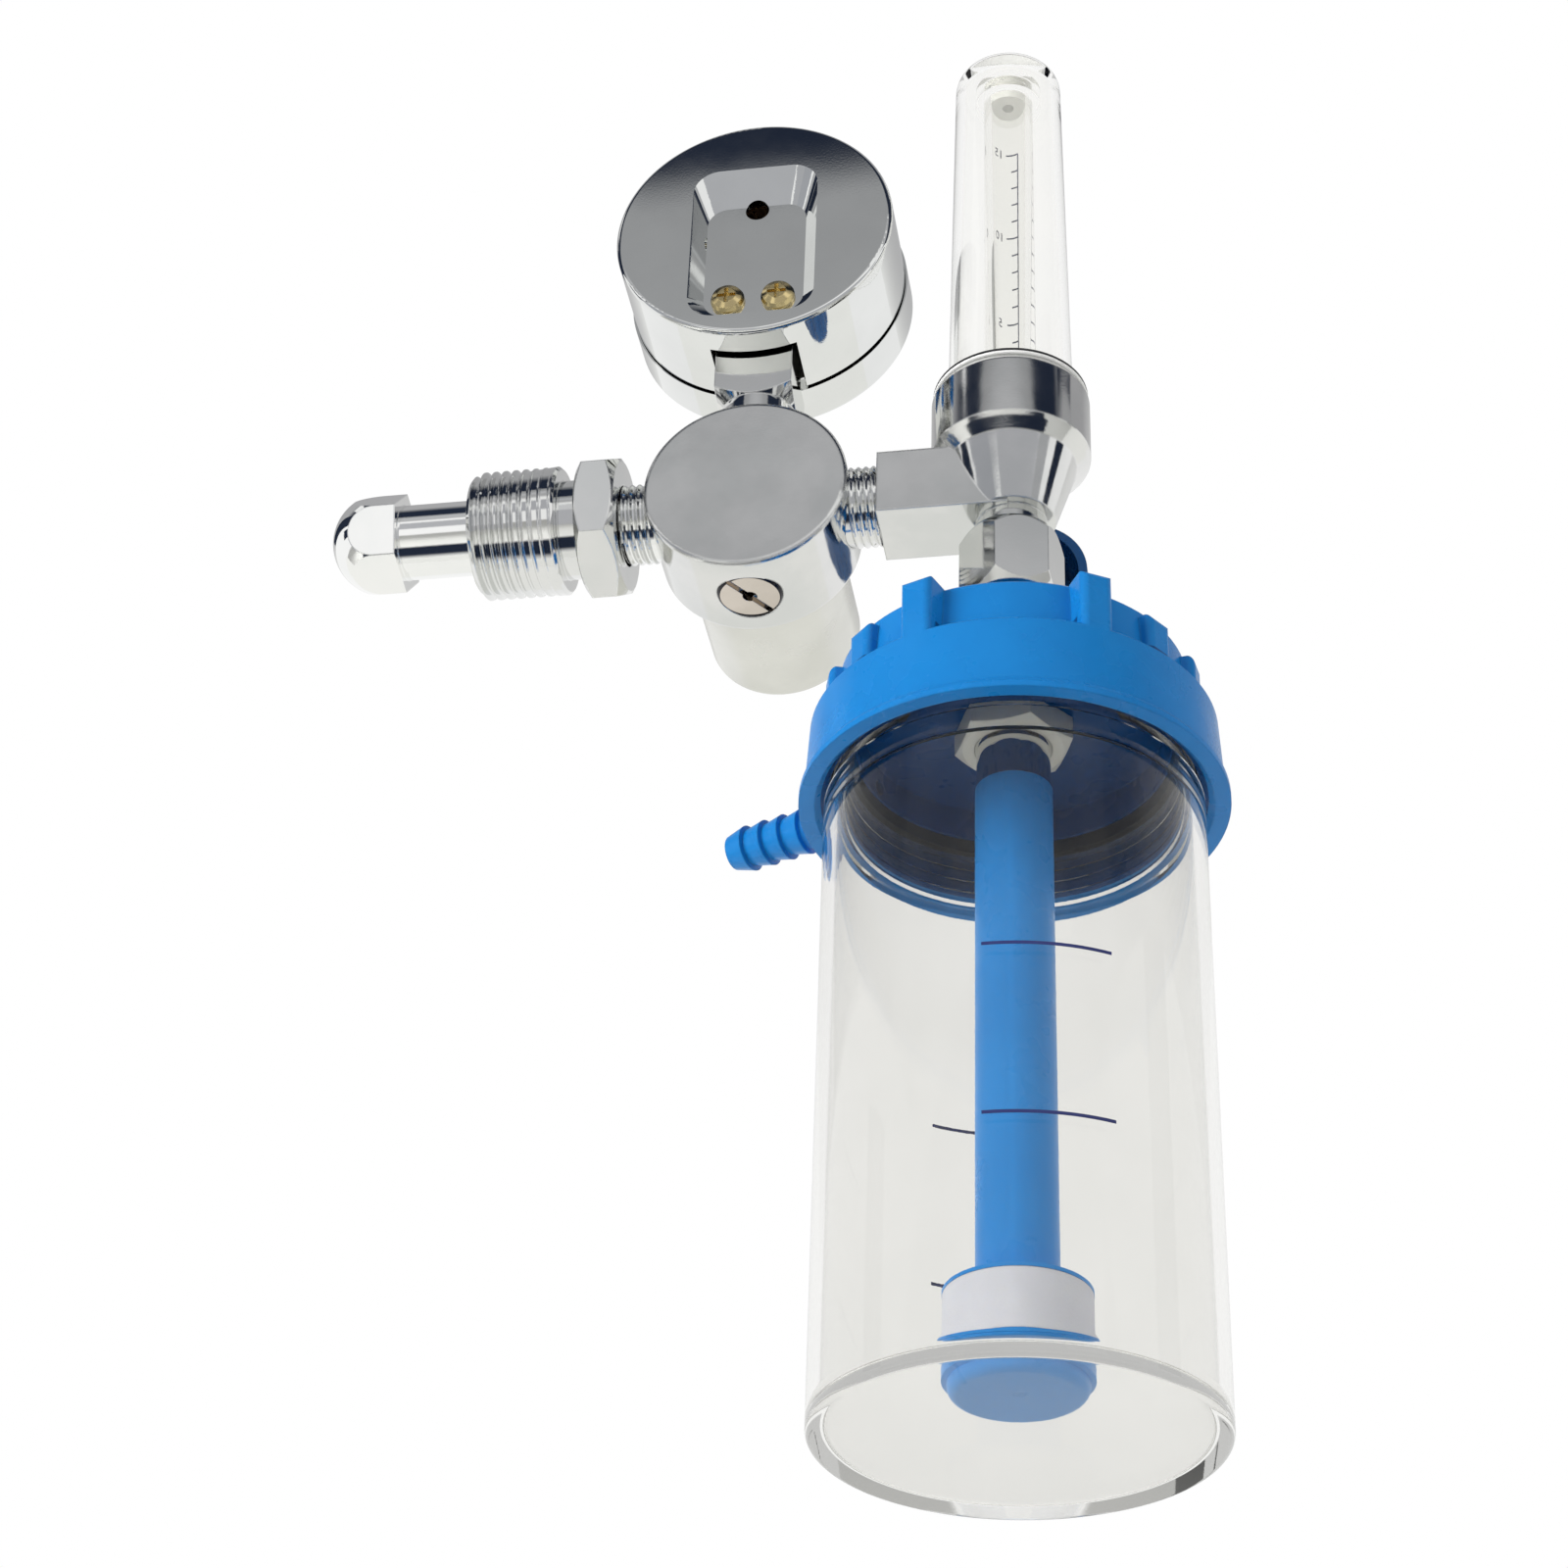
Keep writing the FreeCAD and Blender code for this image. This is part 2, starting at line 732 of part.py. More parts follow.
def bonnet():
    spigot = mm.cavityRadius - mm.fitGap
    body = turned("bonnetBody", [
        (zero, bonnetFront),
        (zero, bonnetFront - mm.bonnetEnd),
        (mm.bonnetBore, bonnetFront - mm.bonnetEnd),
        (mm.bonnetBore, ledge),
        (spigot, ledge),
        (spigot, mm.bodyFront),
        (mm.bonnetRadius, mm.bodyFront),
        (mm.bonnetRadius, bonnetFront),
    ], "Y", mm.bodyOffset)
    roundCorners(body, "bonnetFrontEdge", mm.bonnetEdge, mm.bonnetRadius, bonnetFront)
    ventLevel = mm.bodyFront + mm.bonnetLength / 4.0
    vent = rod("bonnetVent", mm.ventRadius, mm.bonnetRadius, "Z", mm.bodyOffset, ventLevel)
    return node("bonnet", cut("bonnet", body, vent))


def piston():
    head = mm.bonnetBore - mm.runGap
    groove = head - mm.ringSection * 2.0
    middle = (headBack + headFront) / 2.0
    body = turned("pistonBody", [
        (mm.nozzleBore, padBack + mm.padLength),
        (mm.padRadius, padBack + mm.padLength),
        (mm.padRadius, padBack + mm.restGap),
        (mm.pistonStem, padBack + mm.restGap),
        (mm.pistonStem, headBack),
        (head, headBack),
        (head, middle - mm.ringSection),
        (groove, middle - mm.ringSection),
        (groove, middle + mm.ringSection),
        (head, middle + mm.ringSection),
        (head, headFront),
        (mm.nozzleBore, headFront),
    ], "Y", mm.bodyOffset)
    cross = rod("pistonCross", mm.nozzleBore, mm.pistonStem * 2.4, "X",
                mm.bodyOffset - mm.pistonStem * 1.2, padBack + mm.padLength + mm.nozzleBore * 1.6)
    return node("piston", cut("piston", body, cross))


def seatPad():
    radius = mm.padRadius - mm.fitGap
    pad = rod("seatPad", radius, mm.padLength - mm.fitGap, "Y", mm.bodyOffset, padBack)
    return node("seat_pad", pad)


def pistonRing():
    # the ring lies in its groove, just clear of the bonnet's bore
    ring = doc.addObject("Part::Torus", "pistonRing")
    section = mm.ringSection - mm.fitGap
    bind(ring, Radius1=mm.bonnetBore - mm.fitGap - section, Radius2=section)
    lay(ring, "Y", mm.bodyOffset, (headBack + headFront) / 2.0)
    return node("piston_ring", ring)


def mainSpring():
    gap = mm.pistonTravel + mm.fitGap
    length = headBack - guideFront - gap
    start = guideFront + mm.springWire + mm.fitGap
    return node("main_spring", coil("mainSpring", mm.springMean, mm.springWire, length, mm.springTurns,
                                    "Y", mm.bodyOffset, start, zero))


# Relief valve: poppet, spring and slotted screw in the port under the body
reliefFloor = -(mm.bodyRadius - mm.reliefDepth)
screwFoot = -(mm.bodyRadius - mm.reliefScrewSink)
screwTop = screwFoot + mm.reliefScrewLength
poppetFoot = reliefFloor - mm.fitGap - mm.reliefPoppetLength


def reliefPoppet():
    body = turned("reliefPoppet", [
        (zero, poppetFoot),
        (mm.reliefPoppet, poppetFoot),
        (mm.reliefPoppet, reliefFloor - mm.fitGap - mm.reliefPoppetLength / 3.0),
        (mm.reliefSeat + mm.restGap * 2.0, reliefFloor - mm.fitGap),
        (zero, reliefFloor - mm.fitGap),
    ], "Z", mm.bodyOffset)
    return node("relief_poppet", body)


def reliefSpring():
    length = poppetFoot - screwTop - mm.fitGap * 2.0
    start = screwTop + mm.reliefWire + mm.fitGap
    mean = mm.reliefPoppet - mm.reliefWire
    return node("relief_spring", coil("reliefSpring", mean, mm.reliefWire, length, mm.reliefTurns,
                                      "Z", mm.bodyOffset, zero, start))


def reliefScrew():
    radius = mm.reliefRadius - mm.fitGap
    body = turned("reliefPlug", [
        (mm.reliefSeat, screwFoot),
        (radius - mm.restGap, screwFoot),
        (radius, screwFoot + mm.restGap),
        (radius, screwTop),
        (mm.reliefSeat, screwTop),
    ], "Z", mm.bodyOffset)
    slot = block("reliefSlotBox", radius * 2.0, mm.reliefSlot, mm.reliefSlotDepth + mm.restGap,
                 -radius, -mm.reliefSlot / 2.0, zero)
    turn = FreeCAD.Rotation(FreeCAD.Vector(0, 0, 1), angles["reliefSlot"])
    slot.Placement = FreeCAD.Placement(FreeCAD.Vector(), turn)
    across = math.cos(math.radians(angles["reliefSlot"]))
    along = math.sin(math.radians(angles["reliefSlot"]))
    half = mm.reliefSlot / 2.0
    bind(slot, **{
        "Placement.Base.x": mm.bodyOffset - radius * across + half * along,
        "Placement.Base.y": -radius * along - half * across,
        "Placement.Base.z": screwFoot - mm.restGap,
    })
    return node("relief_screw", cut("reliefScrew", body, slot))


# Pressure gauge: pressed case with a sunk back panel, bezel, window and dial
caseBack = -mm.gaugeBack
bezelFront = mm.gaugeSeam + mm.seamGap + mm.bezelDepth
windowBack = bezelFront - mm.bezelLip - mm.windowThickness
dialBack = mm.gaugeSeam + mm.dialSet
socketHalf = mm.socketFlats / 2.0
screwSeat = caseBack + mm.recessDepth
panelInner = screwSeat + mm.gaugeWall
socketTop = mm.gaugeHeight - mm.socketDrop
screwLevel = mm.gaugeHeight - mm.caseScrewDrop


def gaugeCase():
    inner = mm.gaugeRadius - mm.gaugeWall
    body = turned("caseBody", [
        (zero, caseBack),
        (mm.gaugeRadius, caseBack),
        (mm.gaugeRadius, mm.gaugeSeam),
        (inner, mm.gaugeSeam),
        (inner, caseBack + mm.gaugeWall),
        (zero, caseBack + mm.gaugeWall),
    ], "Y", mm.bodyOffset, zero, mm.gaugeHeight)
    roundCorners(body, "caseRim", mm.gaugeRim, mm.gaugeRadius, caseBack)
    wall = mm.gaugeWall
    shelf = newSketch(body, "shelfOutline", "XY_Plane", caseBack + wall / 2.0)
    roundedBox(shelf, -(mm.recessHalf + wall / 2.0), mm.recessHalf + wall / 2.0,
               -(mm.recessTop + wall / 2.0), mm.recessFoot + wall / 2.0, mm.recessCorner)
    shelfPad = body.newObject("PartDesign::Pad", "shelfPad")
    shelfPad.Profile = shelf
    shelfPad.setExpression("Length", (mm.recessDepth + wall / 2.0).text)
    body.Tip = shelfPad
    mouth = newSketch(body, "recessMouth", "XY_Plane", caseBack)
    roundedBox(mouth, -mm.recessHalf, mm.recessHalf, -mm.recessTop, mm.recessFoot, mm.recessCorner)
    floor = newSketch(body, "recessFloor", "XY_Plane", screwSeat)
    half = mm.recessHalf - mm.recessSlope
    roundedBox(floor, -half, half, mm.recessRamp - mm.recessTop, mm.recessFoot - mm.recessSlope,
               mm.recessCorner - mm.recessSlope / 2.0)
    recess = body.newObject("PartDesign::SubtractiveLoft", "recess")
    recess.Profile = mouth
    recess.Sections = [floor]
    recess.Ruled = True
    body.Tip = recess
    vent = rod("caseVent", mm.caseVent, mm.recessDepth * 3.0, "Y", mm.bodyOffset, caseBack,
               mm.gaugeHeight + mm.caseVentHeight)
    notchHalf = socketHalf + mm.notchGap
    notch = block("caseNotch", notchHalf * 2.0, notchHalf + mm.gaugeSeam + mm.restGap, mm.gaugeRadius,
                  mm.bodyOffset - notchHalf, -notchHalf, mm.gaugeHeight - mm.gaugeRadius * 1.5)
    holes = []
    for side in (-1.0, 1.0):
        across = mm.bodyOffset + mm.caseScrewSpan * (side / 2.0)
        holes.append(rod("caseScrewHole", mm.caseScrewShank + mm.runGap, mm.recessDepth * 2.0, "Y",
                         across, caseBack, screwLevel))
    return node("gauge_case", cut("gaugeCase", body, vent, notch, *holes))


def gaugeSocket():
    # one bar: square block in the case, round neck, thread in the body
    foot = mm.socketFoot
    left = mm.bodyOffset - socketHalf
    bezelFloor = mm.gaugeHeight - mm.bezelRadius - mm.restGap
    shelfFoot = mm.gaugeHeight - mm.recessFoot
    pillarFront = mm.gaugeSeam + mm.seamGap - mm.gaugeWall * 2.0 - mm.restGap
    square = block("socketSquare", mm.socketFlats, mm.socketFlats, bezelFloor - foot, left, -socketHalf, foot)
    pillar = block("socketPillar", mm.socketFlats, socketHalf + pillarFront, socketTop - bezelFloor,
                   left, -socketHalf, bezelFloor)
    panelFoot = block("socketPanelFoot", mm.socketFlats, -(socketHalf + panelInner + mm.fitGap),
                      socketTop - shelfFoot, left, panelInner + mm.fitGap, shelfFoot)
    threadFoot = mm.bodyRadius - mm.portDepth + mm.fitGap
    corner = socketHalf * math.sqrt(2)
    profile = turned("socketRound", [
        (zero, threadFoot),
        (mm.portThread - mm.threadDepth, threadFoot),
        (mm.portThread, threadFoot + mm.threadDepth),
        (mm.portThread, mm.bodyRadius + mm.fitGap),
        (mm.portThread, foot),
        (corner + mm.restGap, foot + mm.socketChamfer),
        (corner + mm.restGap, socketTop + mm.restGap),
        (zero, socketTop + mm.restGap),
    ], "Z", mm.bodyOffset)
    tail = rod("socketTail", mm.portThread, foot - threadFoot + mm.restGap, "Z", mm.bodyOffset, z=threadFoot)
    solid = shared("socketSolid", fused("socketBlanks", square, pillar, panelFoot, tail), profile)
    bore = rod("socketBore", mm.socketBore, socketTop * 0.66, "Z", mm.bodyOffset, z=zero)
    holes = []
    for side in (-1.0, 1.0):
        across = mm.bodyOffset + mm.caseScrewSpan * (side / 2.0)
        holes.append(rod("socketScrewHole", mm.caseScrewShank, mm.caseScrewLength + mm.gaugeWall, "Y",
                         across, panelInner, screwLevel))
    slot = bourdonArc("socketTubeSlot", mm.fitGap)
    return node("gauge_socket", cut("gaugeSocket", solid, bore, slot, *holes))


def caseScrews():
    # two cross-recessed pan screws, one node
    screws = []
    for side in (-1.0, 1.0):
        across = mm.bodyOffset + mm.caseScrewSpan * (side / 2.0)
        seat = screwSeat - mm.fitGap
        shank = mm.caseScrewShank - mm.fitGap
        tip = panelInner + mm.caseScrewLength
        body = turned("caseScrew", [
            (zero, seat - mm.caseScrewRise),
            (mm.caseScrewHead * 0.55, seat - mm.caseScrewRise),
            (mm.caseScrewHead * 0.88, seat - mm.caseScrewRise * 0.72),
            (mm.caseScrewHead, seat - mm.caseScrewRise * 0.3),
            (mm.caseScrewHead, seat),
            (shank, seat),
            (shank, tip),
            (zero, tip),
        ], "Y", across, zero, screwLevel)
        slots = []
        for number in (0, 1):
            wide = mm.caseScrewHead * (1.1 if number else 0.24)
            high = mm.caseScrewHead * (0.24 if number else 1.1)
            slots.append(block("screwCross", wide, mm.caseScrewRise * 0.62, high, across - wide / 2.0,
                               seat - mm.caseScrewRise - mm.fitGap, screwLevel - high / 2.0))
        screws.append(cut("caseScrewCut", body, *slots))
    group = doc.addObject("Part::Compound", "caseScrews")
    group.Links = screws
    return node("case_screws", group)


def gaugeBezel():
    back = mm.gaugeSeam + mm.seamGap
    lipBack = bezelFront - mm.bezelLip
    body = turned("gaugeBezel", [
        (mm.gaugeRadius - mm.gaugeWall - mm.fitGap - mm.gaugeWall, dialBack - mm.fitGap),
        (mm.gaugeRadius - mm.gaugeWall - mm.fitGap, back - mm.gaugeWall * 2.0),
        (mm.gaugeRadius - mm.gaugeWall - mm.fitGap, back),
        (mm.bezelRadius, back),
        (mm.bezelRadius, bezelFront),
        (mm.bezelSight, bezelFront),
        (mm.bezelSight, lipBack),
        (mm.bezelRadius - mm.gaugeWall * 1.4, lipBack),
        (mm.bezelRadius - mm.gaugeWall * 1.4, dialBack - mm.fitGap),
    ], "Y", mm.bodyOffset, zero, mm.gaugeHeight)
    roundCorners(body, "bezelFrontEdge", mm.bezelEdge, mm.bezelRadius, bezelFront)
    return node("gauge_bezel", body)


windowRadius = mm.bezelRadius - mm.gaugeWall * 1.4 - mm.runGap


def gaugeWindow():
    disc = rod("gaugeWindow", windowRadius, mm.windowThickness, "Y", mm.bodyOffset, windowBack, mm.gaugeHeight)
    return node("gauge_window", disc)


def gaugeSpacer():
    # spring ring that holds the window up against the bezel's lip
    start = dialBack + mm.dialThickness
    body = turned("gaugeSpacer", [
        (windowRadius - mm.gaugeWall, start),
        (windowRadius, start),
        (windowRadius, windowBack - mm.fitGap),
        (windowRadius - mm.gaugeWall, windowBack - mm.fitGap),
    ], "Y", mm.bodyOffset, zero, mm.gaugeHeight)
    return node("window_ring", body)


def gaugeDial():
    body = turned("gaugeDial", [
        (mm.arborRadius * 2.5, dialBack),
        (windowRadius, dialBack),
        (windowRadius, dialBack + mm.dialThickness - mm.fitGap),
        (mm.arborRadius * 2.5, dialBack + mm.dialThickness - mm.fitGap),
    ], "Y", mm.bodyOffset, zero, mm.gaugeHeight)
    return node("gauge_dial", body)


plateBack = -mm.plateGap
plateFront = mm.sectorThickness


tubeBend = angles["tubeBend"]
tubeFirst = angles["tubeTip"] - tubeBend


def bourdonArc(name, spare):
    # flattened section bent round from the socket block to the tube's free tip
    half = mm.bourdonWide / 2.0 + spare
    thick = mm.bourdonThick / 2.0 + spare
    body = newBody(name, "Y", mm.bodyOffset, -mm.socketSlot, mm.gaugeHeight, tubeFirst)
    revolve(body, name + "Bend", [
        (mm.bourdonRadius - thick, -half + thick),
        (mm.bourdonRadius, -half),
        (mm.bourdonRadius + thick, -half + thick),
        (mm.bourdonRadius + thick, half - thick),
        (mm.bourdonRadius, half),
        (mm.bourdonRadius - thick, half - thick),
    ], angle=tubeBend)
    return body


def bourdonTube():
    return node("bourdon_tube", bourdonArc("bourdonTube", zero))


def tubeLink():
    # flat link from the tube's tip down to the sector's tail, whose eye it hooks beside
    lean = math.radians(sizes["sectorSweep"] / 2)
    turn = math.radians(tubeFirst + 3.0)
    tipX = mm.bourdonRadius * math.cos(turn)
    tipDown = mm.bourdonRadius * math.sin(turn)
    tailX = -mm.sectorTail * math.cos(lean)
    tailDown = sectorReach + mm.pinionRadius + mm.runGap + mm.sectorTail * math.sin(lean)
    half = mm.linkWidth / 2.0
    level = pinionBack + mm.sectorThickness + mm.restGap
    body = newBody("tubeLink", "Y", mm.bodyOffset, level, mm.gaugeHeight)
    outline = newSketch(body, "linkOutline", "XY_Plane")
    drawOutline(outline, [
        (tipX + half, tipDown),
        (tailX + half, tailDown),
        (tailX - half, tailDown),
        (tipX - half, tipDown),
    ])
    pad = body.newObject("PartDesign::Pad", "linkPad")
    pad.Profile = outline
    pad.setExpression("Length", mm.linkThickness.text)
    body.Tip = pad
    slot = bourdonArc("linkTubeSlot", mm.fitGap)
    eye = rod("linkEye", half * 1.4, mm.linkThickness, "Y", mm.bodyOffset + tailX, level,
              mm.gaugeHeight - tailDown)
    return node("tube_link", cut("tubeLinkCut", fused("tubeLinkBar", body, eye), slot))


def gaugeMovement():
    # two plates on pillars, standing on the socket block
    plateWidth = mm.socketFlats
    foot = socketTop
    high = mm.gaugeHeight + mm.plateHalf * 0.6 - foot
    left = mm.bodyOffset - plateWidth / 2.0
    back = block("plateBack", plateWidth, mm.plateThickness, high, left, plateBack, foot)
    front = block("plateFront", plateWidth, mm.plateThickness, high, left, plateFront, foot)
    span = plateFront - plateBack
    posts = []
    for side in (-1.0, 1.0):
        across = mm.bodyOffset + plateWidth * (side * 0.38)
        posts.append(rod("platePost", mm.plateThickness, span, "Y", across, plateBack,
                         mm.gaugeHeight + mm.plateHalf * 0.4))
    tab = block("plateTab", plateWidth, span + mm.plateThickness, mm.plateThickness, left, plateBack, foot)
    frame = fused("movementFrame", back, front, tab, *posts)
    arbor = rod("arborHole", mm.arborRadius + mm.runGap, span * 2.0, "Y", mm.bodyOffset,
                plateBack - mm.restGap, mm.gaugeHeight)
    pivot = rod("pivotHole", mm.arborRadius + mm.runGap, span * 2.0, "Y", mm.bodyOffset,
                plateBack - mm.restGap, sectorPivot)
    return node("gauge_movement", cut("gaugeMovement", frame, arbor, pivot))


sectorReach = mm.pinionRadius * mm.sectorRatio.value
sectorPivot = mm.gaugeHeight - sectorReach - mm.pinionRadius - mm.runGap
pinionBack = plateBack + mm.plateThickness + mm.restGap


def toothedDisc(name, radius, teeth, depth, length, axis, x, y, z, spin):
    # radial teeth cut by a polar pattern of pockets
    body = turned(name, [
        (zero, zero),
        (radius + depth / 2.0, zero),
        (radius + depth / 2.0, length),
        (zero, length),
    ], axis, x, y, z, spin)
    pitch = 2 * math.pi * radius.value / teeth
    gap = Size(pitch * 0.64, "(2 * pi * %s / %d * 0.64)" % (radius.text, teeth))
    inner = radius - depth / 2.0
    outer = radius + depth
    sketch = newSketch(body, name + "GapOutline", "XY_Plane")
    drawOutline(sketch, [
        (inner, gap * -0.3),
        (outer, gap * -0.75),
        (outer, gap * 0.75),
        (inner, gap * 0.3),
    ])
    pocket = body.newObject("PartDesign::Pocket", name + "Gap")
    pocket.Profile = sketch
    pocket.Type = "ThroughAll"
    pocket.Midplane = True
    body.Tip = pocket
    pattern = body.newObject("PartDesign::PolarPattern", name + "Gaps")
    pattern.Originals = [pocket]
    pattern.Axis = (originAxis(body, "Z_Axis"), [""])
    pattern.Angle = full
    pattern.Occurrences = teeth
    body.Tip = pattern
    return body


def originAxis(body, role):
    for feature in body.Origin.OriginFeatures:
        if feature.Role == role:
            return feature
    raise ValueError("no origin axis " + role)


def sectorGear():
    teeth = int(sizes["pinionTeeth"] * sizes["sectorRatio"])
    depth = mm.pinionRadius * 0.24
    length = mm.sectorThickness
    spin = 90.0 + 180.0 / teeth
    disc = toothedDisc("sectorDisc", sectorReach, teeth, depth, length, "Y", mm.bodyOffset,
                       pinionBack, sectorPivot, spin)
    reach = sectorReach * 1.2
    lean = sizes["sectorSweep"] / 2
    fan = newBody("sectorFan", "Y", mm.bodyOffset, pinionBack - mm.restGap, sectorPivot, -lean)
    outline = newSketch(fan, "fanOutline", "XY_Plane")
    spread = math.tan(math.radians(angles["sectorFan"]))
    hub = mm.arborRadius * 3.0
    drawOutline(outline, [
        (-hub, hub),
        (-(reach * spread), -reach),
        (reach * spread, -reach),
        (hub, hub),
    ])
    fanPad = fan.newObject("PartDesign::Pad", "fanPad")
    fanPad.Profile = outline
    fanPad.setExpression("Length", (length + mm.restGap * 2.0).text)
    fan.Tip = fanPad
    segment = shared("sectorSegment", disc, fan)
    boss = rod("sectorBoss", hub, length, "Y", mm.bodyOffset, pinionBack, sectorPivot)
    pin = rod("sectorPin", mm.arborRadius, plateFront - plateBack + mm.plateThickness, "Y", mm.bodyOffset,
              plateBack, sectorPivot)
    arm = newBody("sectorTail", "Y", mm.bodyOffset, pinionBack, sectorPivot, 180.0 - lean)
    armOutline = newSketch(arm, "tailOutline", "XY_Plane")
    half = mm.linkWidth / 2.0
    drawOutline(armOutline, [
        (zero, -hub / 2.0),
        (mm.sectorTail + half, -half),
        (mm.sectorTail + half, half),
        (zero, hub / 2.0),
    ])
    armPad = arm.newObject("PartDesign::Pad", "tailPad")
    armPad.Profile = armOutline
    armPad.setExpression("Length", length.text)
    arm.Tip = armPad
    return node("sector_gear", fused("sectorGear", segment, boss, pin, arm))


def pointerArbor():
    teeth = int(sizes["pinionTeeth"])
    depth = mm.pinionRadius * 0.24
    pinion = toothedDisc("pinionDisc", mm.pinionRadius, teeth, depth, mm.sectorThickness, "Y",
                         mm.bodyOffset, pinionBack, mm.gaugeHeight, 90.0)
    hubBack = dialBack + mm.dialThickness + mm.restGap
    shaft = rod("arborShaft", mm.arborRadius, hubBack - plateBack + mm.fitGap, "Y", mm.bodyOffset,
                plateBack, mm.gaugeHeight)
    return node("pointer_arbor", fused("pointerArbor", pinion, shaft))


def gaugePointer():
    # needle, round hub and short tail from one thin sheet, at zero on the lower left as it is read
    hubBack = dialBack + mm.dialThickness + mm.restGap + mm.fitGap * 2.0
    body = newBody("gaugePointer", "Y", mm.bodyOffset, hubBack, mm.gaugeHeight, angles["pointerRest"])
    outline = newSketch(body, "needleOutline", "XY_Plane")
    half = mm.pointerWidth / 2.0
    drawOutline(outline, [
        (-mm.pointerTail, -half * 1.8),
        (-mm.pointerTail, half * 1.8),
        (zero, half),
        (mm.pointerReach, half * 0.25),
        (mm.pointerReach, -half * 0.25),
        (zero, -half),
    ])
    needle = body.newObject("PartDesign::Pad", "needlePad")
    needle.Profile = outline
    needle.setExpression("Length", mm.pointerThickness.text)
    body.Tip = needle
    hub = rod("pointerHub", mm.pointerHub, mm.pointerThickness * 2.0, "Y", mm.bodyOffset, hubBack, mm.gaugeHeight)
    return node("gauge_pointer", fused("pointer", body, hub))


# Flowmeter body: forged block, cone and cup in one piece, with the needle valve's boss
cupFloor = mm.cupFoot + mm.cupWall
spigotFoot = -(mm.coneBottom + mm.neckLength + mm.spigotLength)
cupBore = mm.cupRadius - mm.cupWall
sealFoot = cupFloor - mm.seatDepth


def flowmeterBody():
    blockBox = block("flowBlock", mm.flowOffset - mm.blockStart, mm.blockDeep, mm.blockHigh,
                     mm.blockStart, -mm.blockDeep / 2.0, -mm.blockHigh / 2.0)
    tail = mm.portThread
    tailFoot = bodyRight - mm.portDepth + mm.fitGap
    stub = turned("flowStub", [
        (zero, tailFoot),
        (tail - mm.threadDepth, tailFoot),
        (tail, tailFoot + mm.threadDepth),
        (tail, mm.blockStart - mm.threadDepth),
        (tail - mm.threadDepth, mm.blockStart),
        (tail - mm.threadDepth, mm.blockStart + mm.threadDepth),
        (zero, mm.blockStart + mm.threadDepth),
    ], "X")
    column = turned("flowColumn", [
        (zero, spigotFoot),
        (mm.spigotRadius - mm.threadDepth, spigotFoot),
        (mm.spigotRadius, spigotFoot + mm.threadDepth),
        (mm.spigotRadius, -(mm.coneBottom + mm.neckLength)),
        (mm.neckRadius, -(mm.coneBottom + mm.neckLength)),
        (mm.neckRadius, -mm.coneBottom),
        (mm.coneFoot, -mm.coneBottom),
        (mm.coneTop, mm.cupFoot - mm.cupUnder),
        (mm.cupRadius - mm.threadDepth, mm.cupFoot - mm.threadDepth / 2.0),
        (mm.cupRadius, mm.cupFoot + mm.threadDepth / 2.0),
        (mm.cupRadius, mm.cupTop - mm.threadDepth * 2.0),
        (mm.cupRadius - mm.threadDepth, mm.cupTop),
        (cupBore, mm.cupTop),
        (cupBore, cupFloor),
        (mm.seatBore, cupFloor),
        (mm.seatBore, sealFoot),
        (zero, sealFoot),
    ], "Z", mm.flowOffset)
    boss = rod("valveBoss", mm.bossRadius, mm.blockDeep / 2.0 + mm.bossLength, "Y", mm.flowOffset)
    solid = fused("flowSolid", blockBox, stub, column, boss)
    gasIn = rod("flowInlet", mm.outletBore, mm.flowOffset - mm.needleRadius - tailFoot, "X", tailFoot - mm.restGap)
    rise = rod("flowRise", mm.flowBore, sealFoot * 2.0 + mm.needleRadius, "Z", mm.flowOffset, z=-mm.needleRadius)
    fall = rod("flowFall", mm.flowBore, -spigotFoot - mm.needleRadius, "Z", mm.flowOffset - mm.flowBore * 1.6,
               z=spigotFoot - mm.restGap)
    needleBore = rod("needleBore", mm.needleRadius + mm.runGap, mm.blockDeep * 2.0, "Y", mm.flowOffset,
                     -mm.needleReach - mm.restGap)
    packingBore = rod("packingBore", mm.packingRadius, mm.blockDeep, "Y", mm.flowOffset, packingBack)
    seat = rod("tubeSeatBore", mm.seatBore, mm.seatDepth + mm.restGap, "Z", mm.flowOffset, z=sealFoot)
    tools = [gasIn, rise, fall, needleBore, packingBore, seat]
    return node("flowmeter_body", cut("flowmeterBody", solid, *tools))


bossFront = mm.blockDeep / 2.0 + mm.bossLength
packingBack = bossFront - mm.packingLength - mm.packingNutLength * 0.5


def needlePacking():
    body = turned("needlePacking", [
        (mm.needleRadius + mm.runGap, packingBack),
        (mm.packingRadius - mm.fitGap, packingBack),
        (mm.packingRadius - mm.fitGap, packingBack + mm.packingLength),
        (mm.needleRadius + mm.runGap, packingBack + mm.packingLength),
    ], "Y", mm.flowOffset)
    return node("needle_packing", body)


def packingNut():
    bore = mm.needleRadius + mm.runGap
    shank = mm.packingRadius - mm.fitGap
    hexEnd = bossFront + mm.packingNutLength
    body = turned("packingNut", [
        (bore, packingBack + mm.packingLength),
        (shank, packingBack + mm.packingLength),
        (shank, hexEnd),
        (bore, hexEnd),
    ], "Y", mm.flowOffset, spin=angles["packingHex"])
    hexPad(body, "packingHex", mm.packingNutFlats, bossFront, mm.packingNutLength, shank - mm.restGap)
    chamfer = mm.packingNutFlats * (hexCorner - hexRound) * math.tan(math.radians(angles["packingChamfer"]))
    hexChamfer(body, "packingChamfer", mm.packingNutFlats, hexEnd, chamfer)
    return node("packing_nut", body)


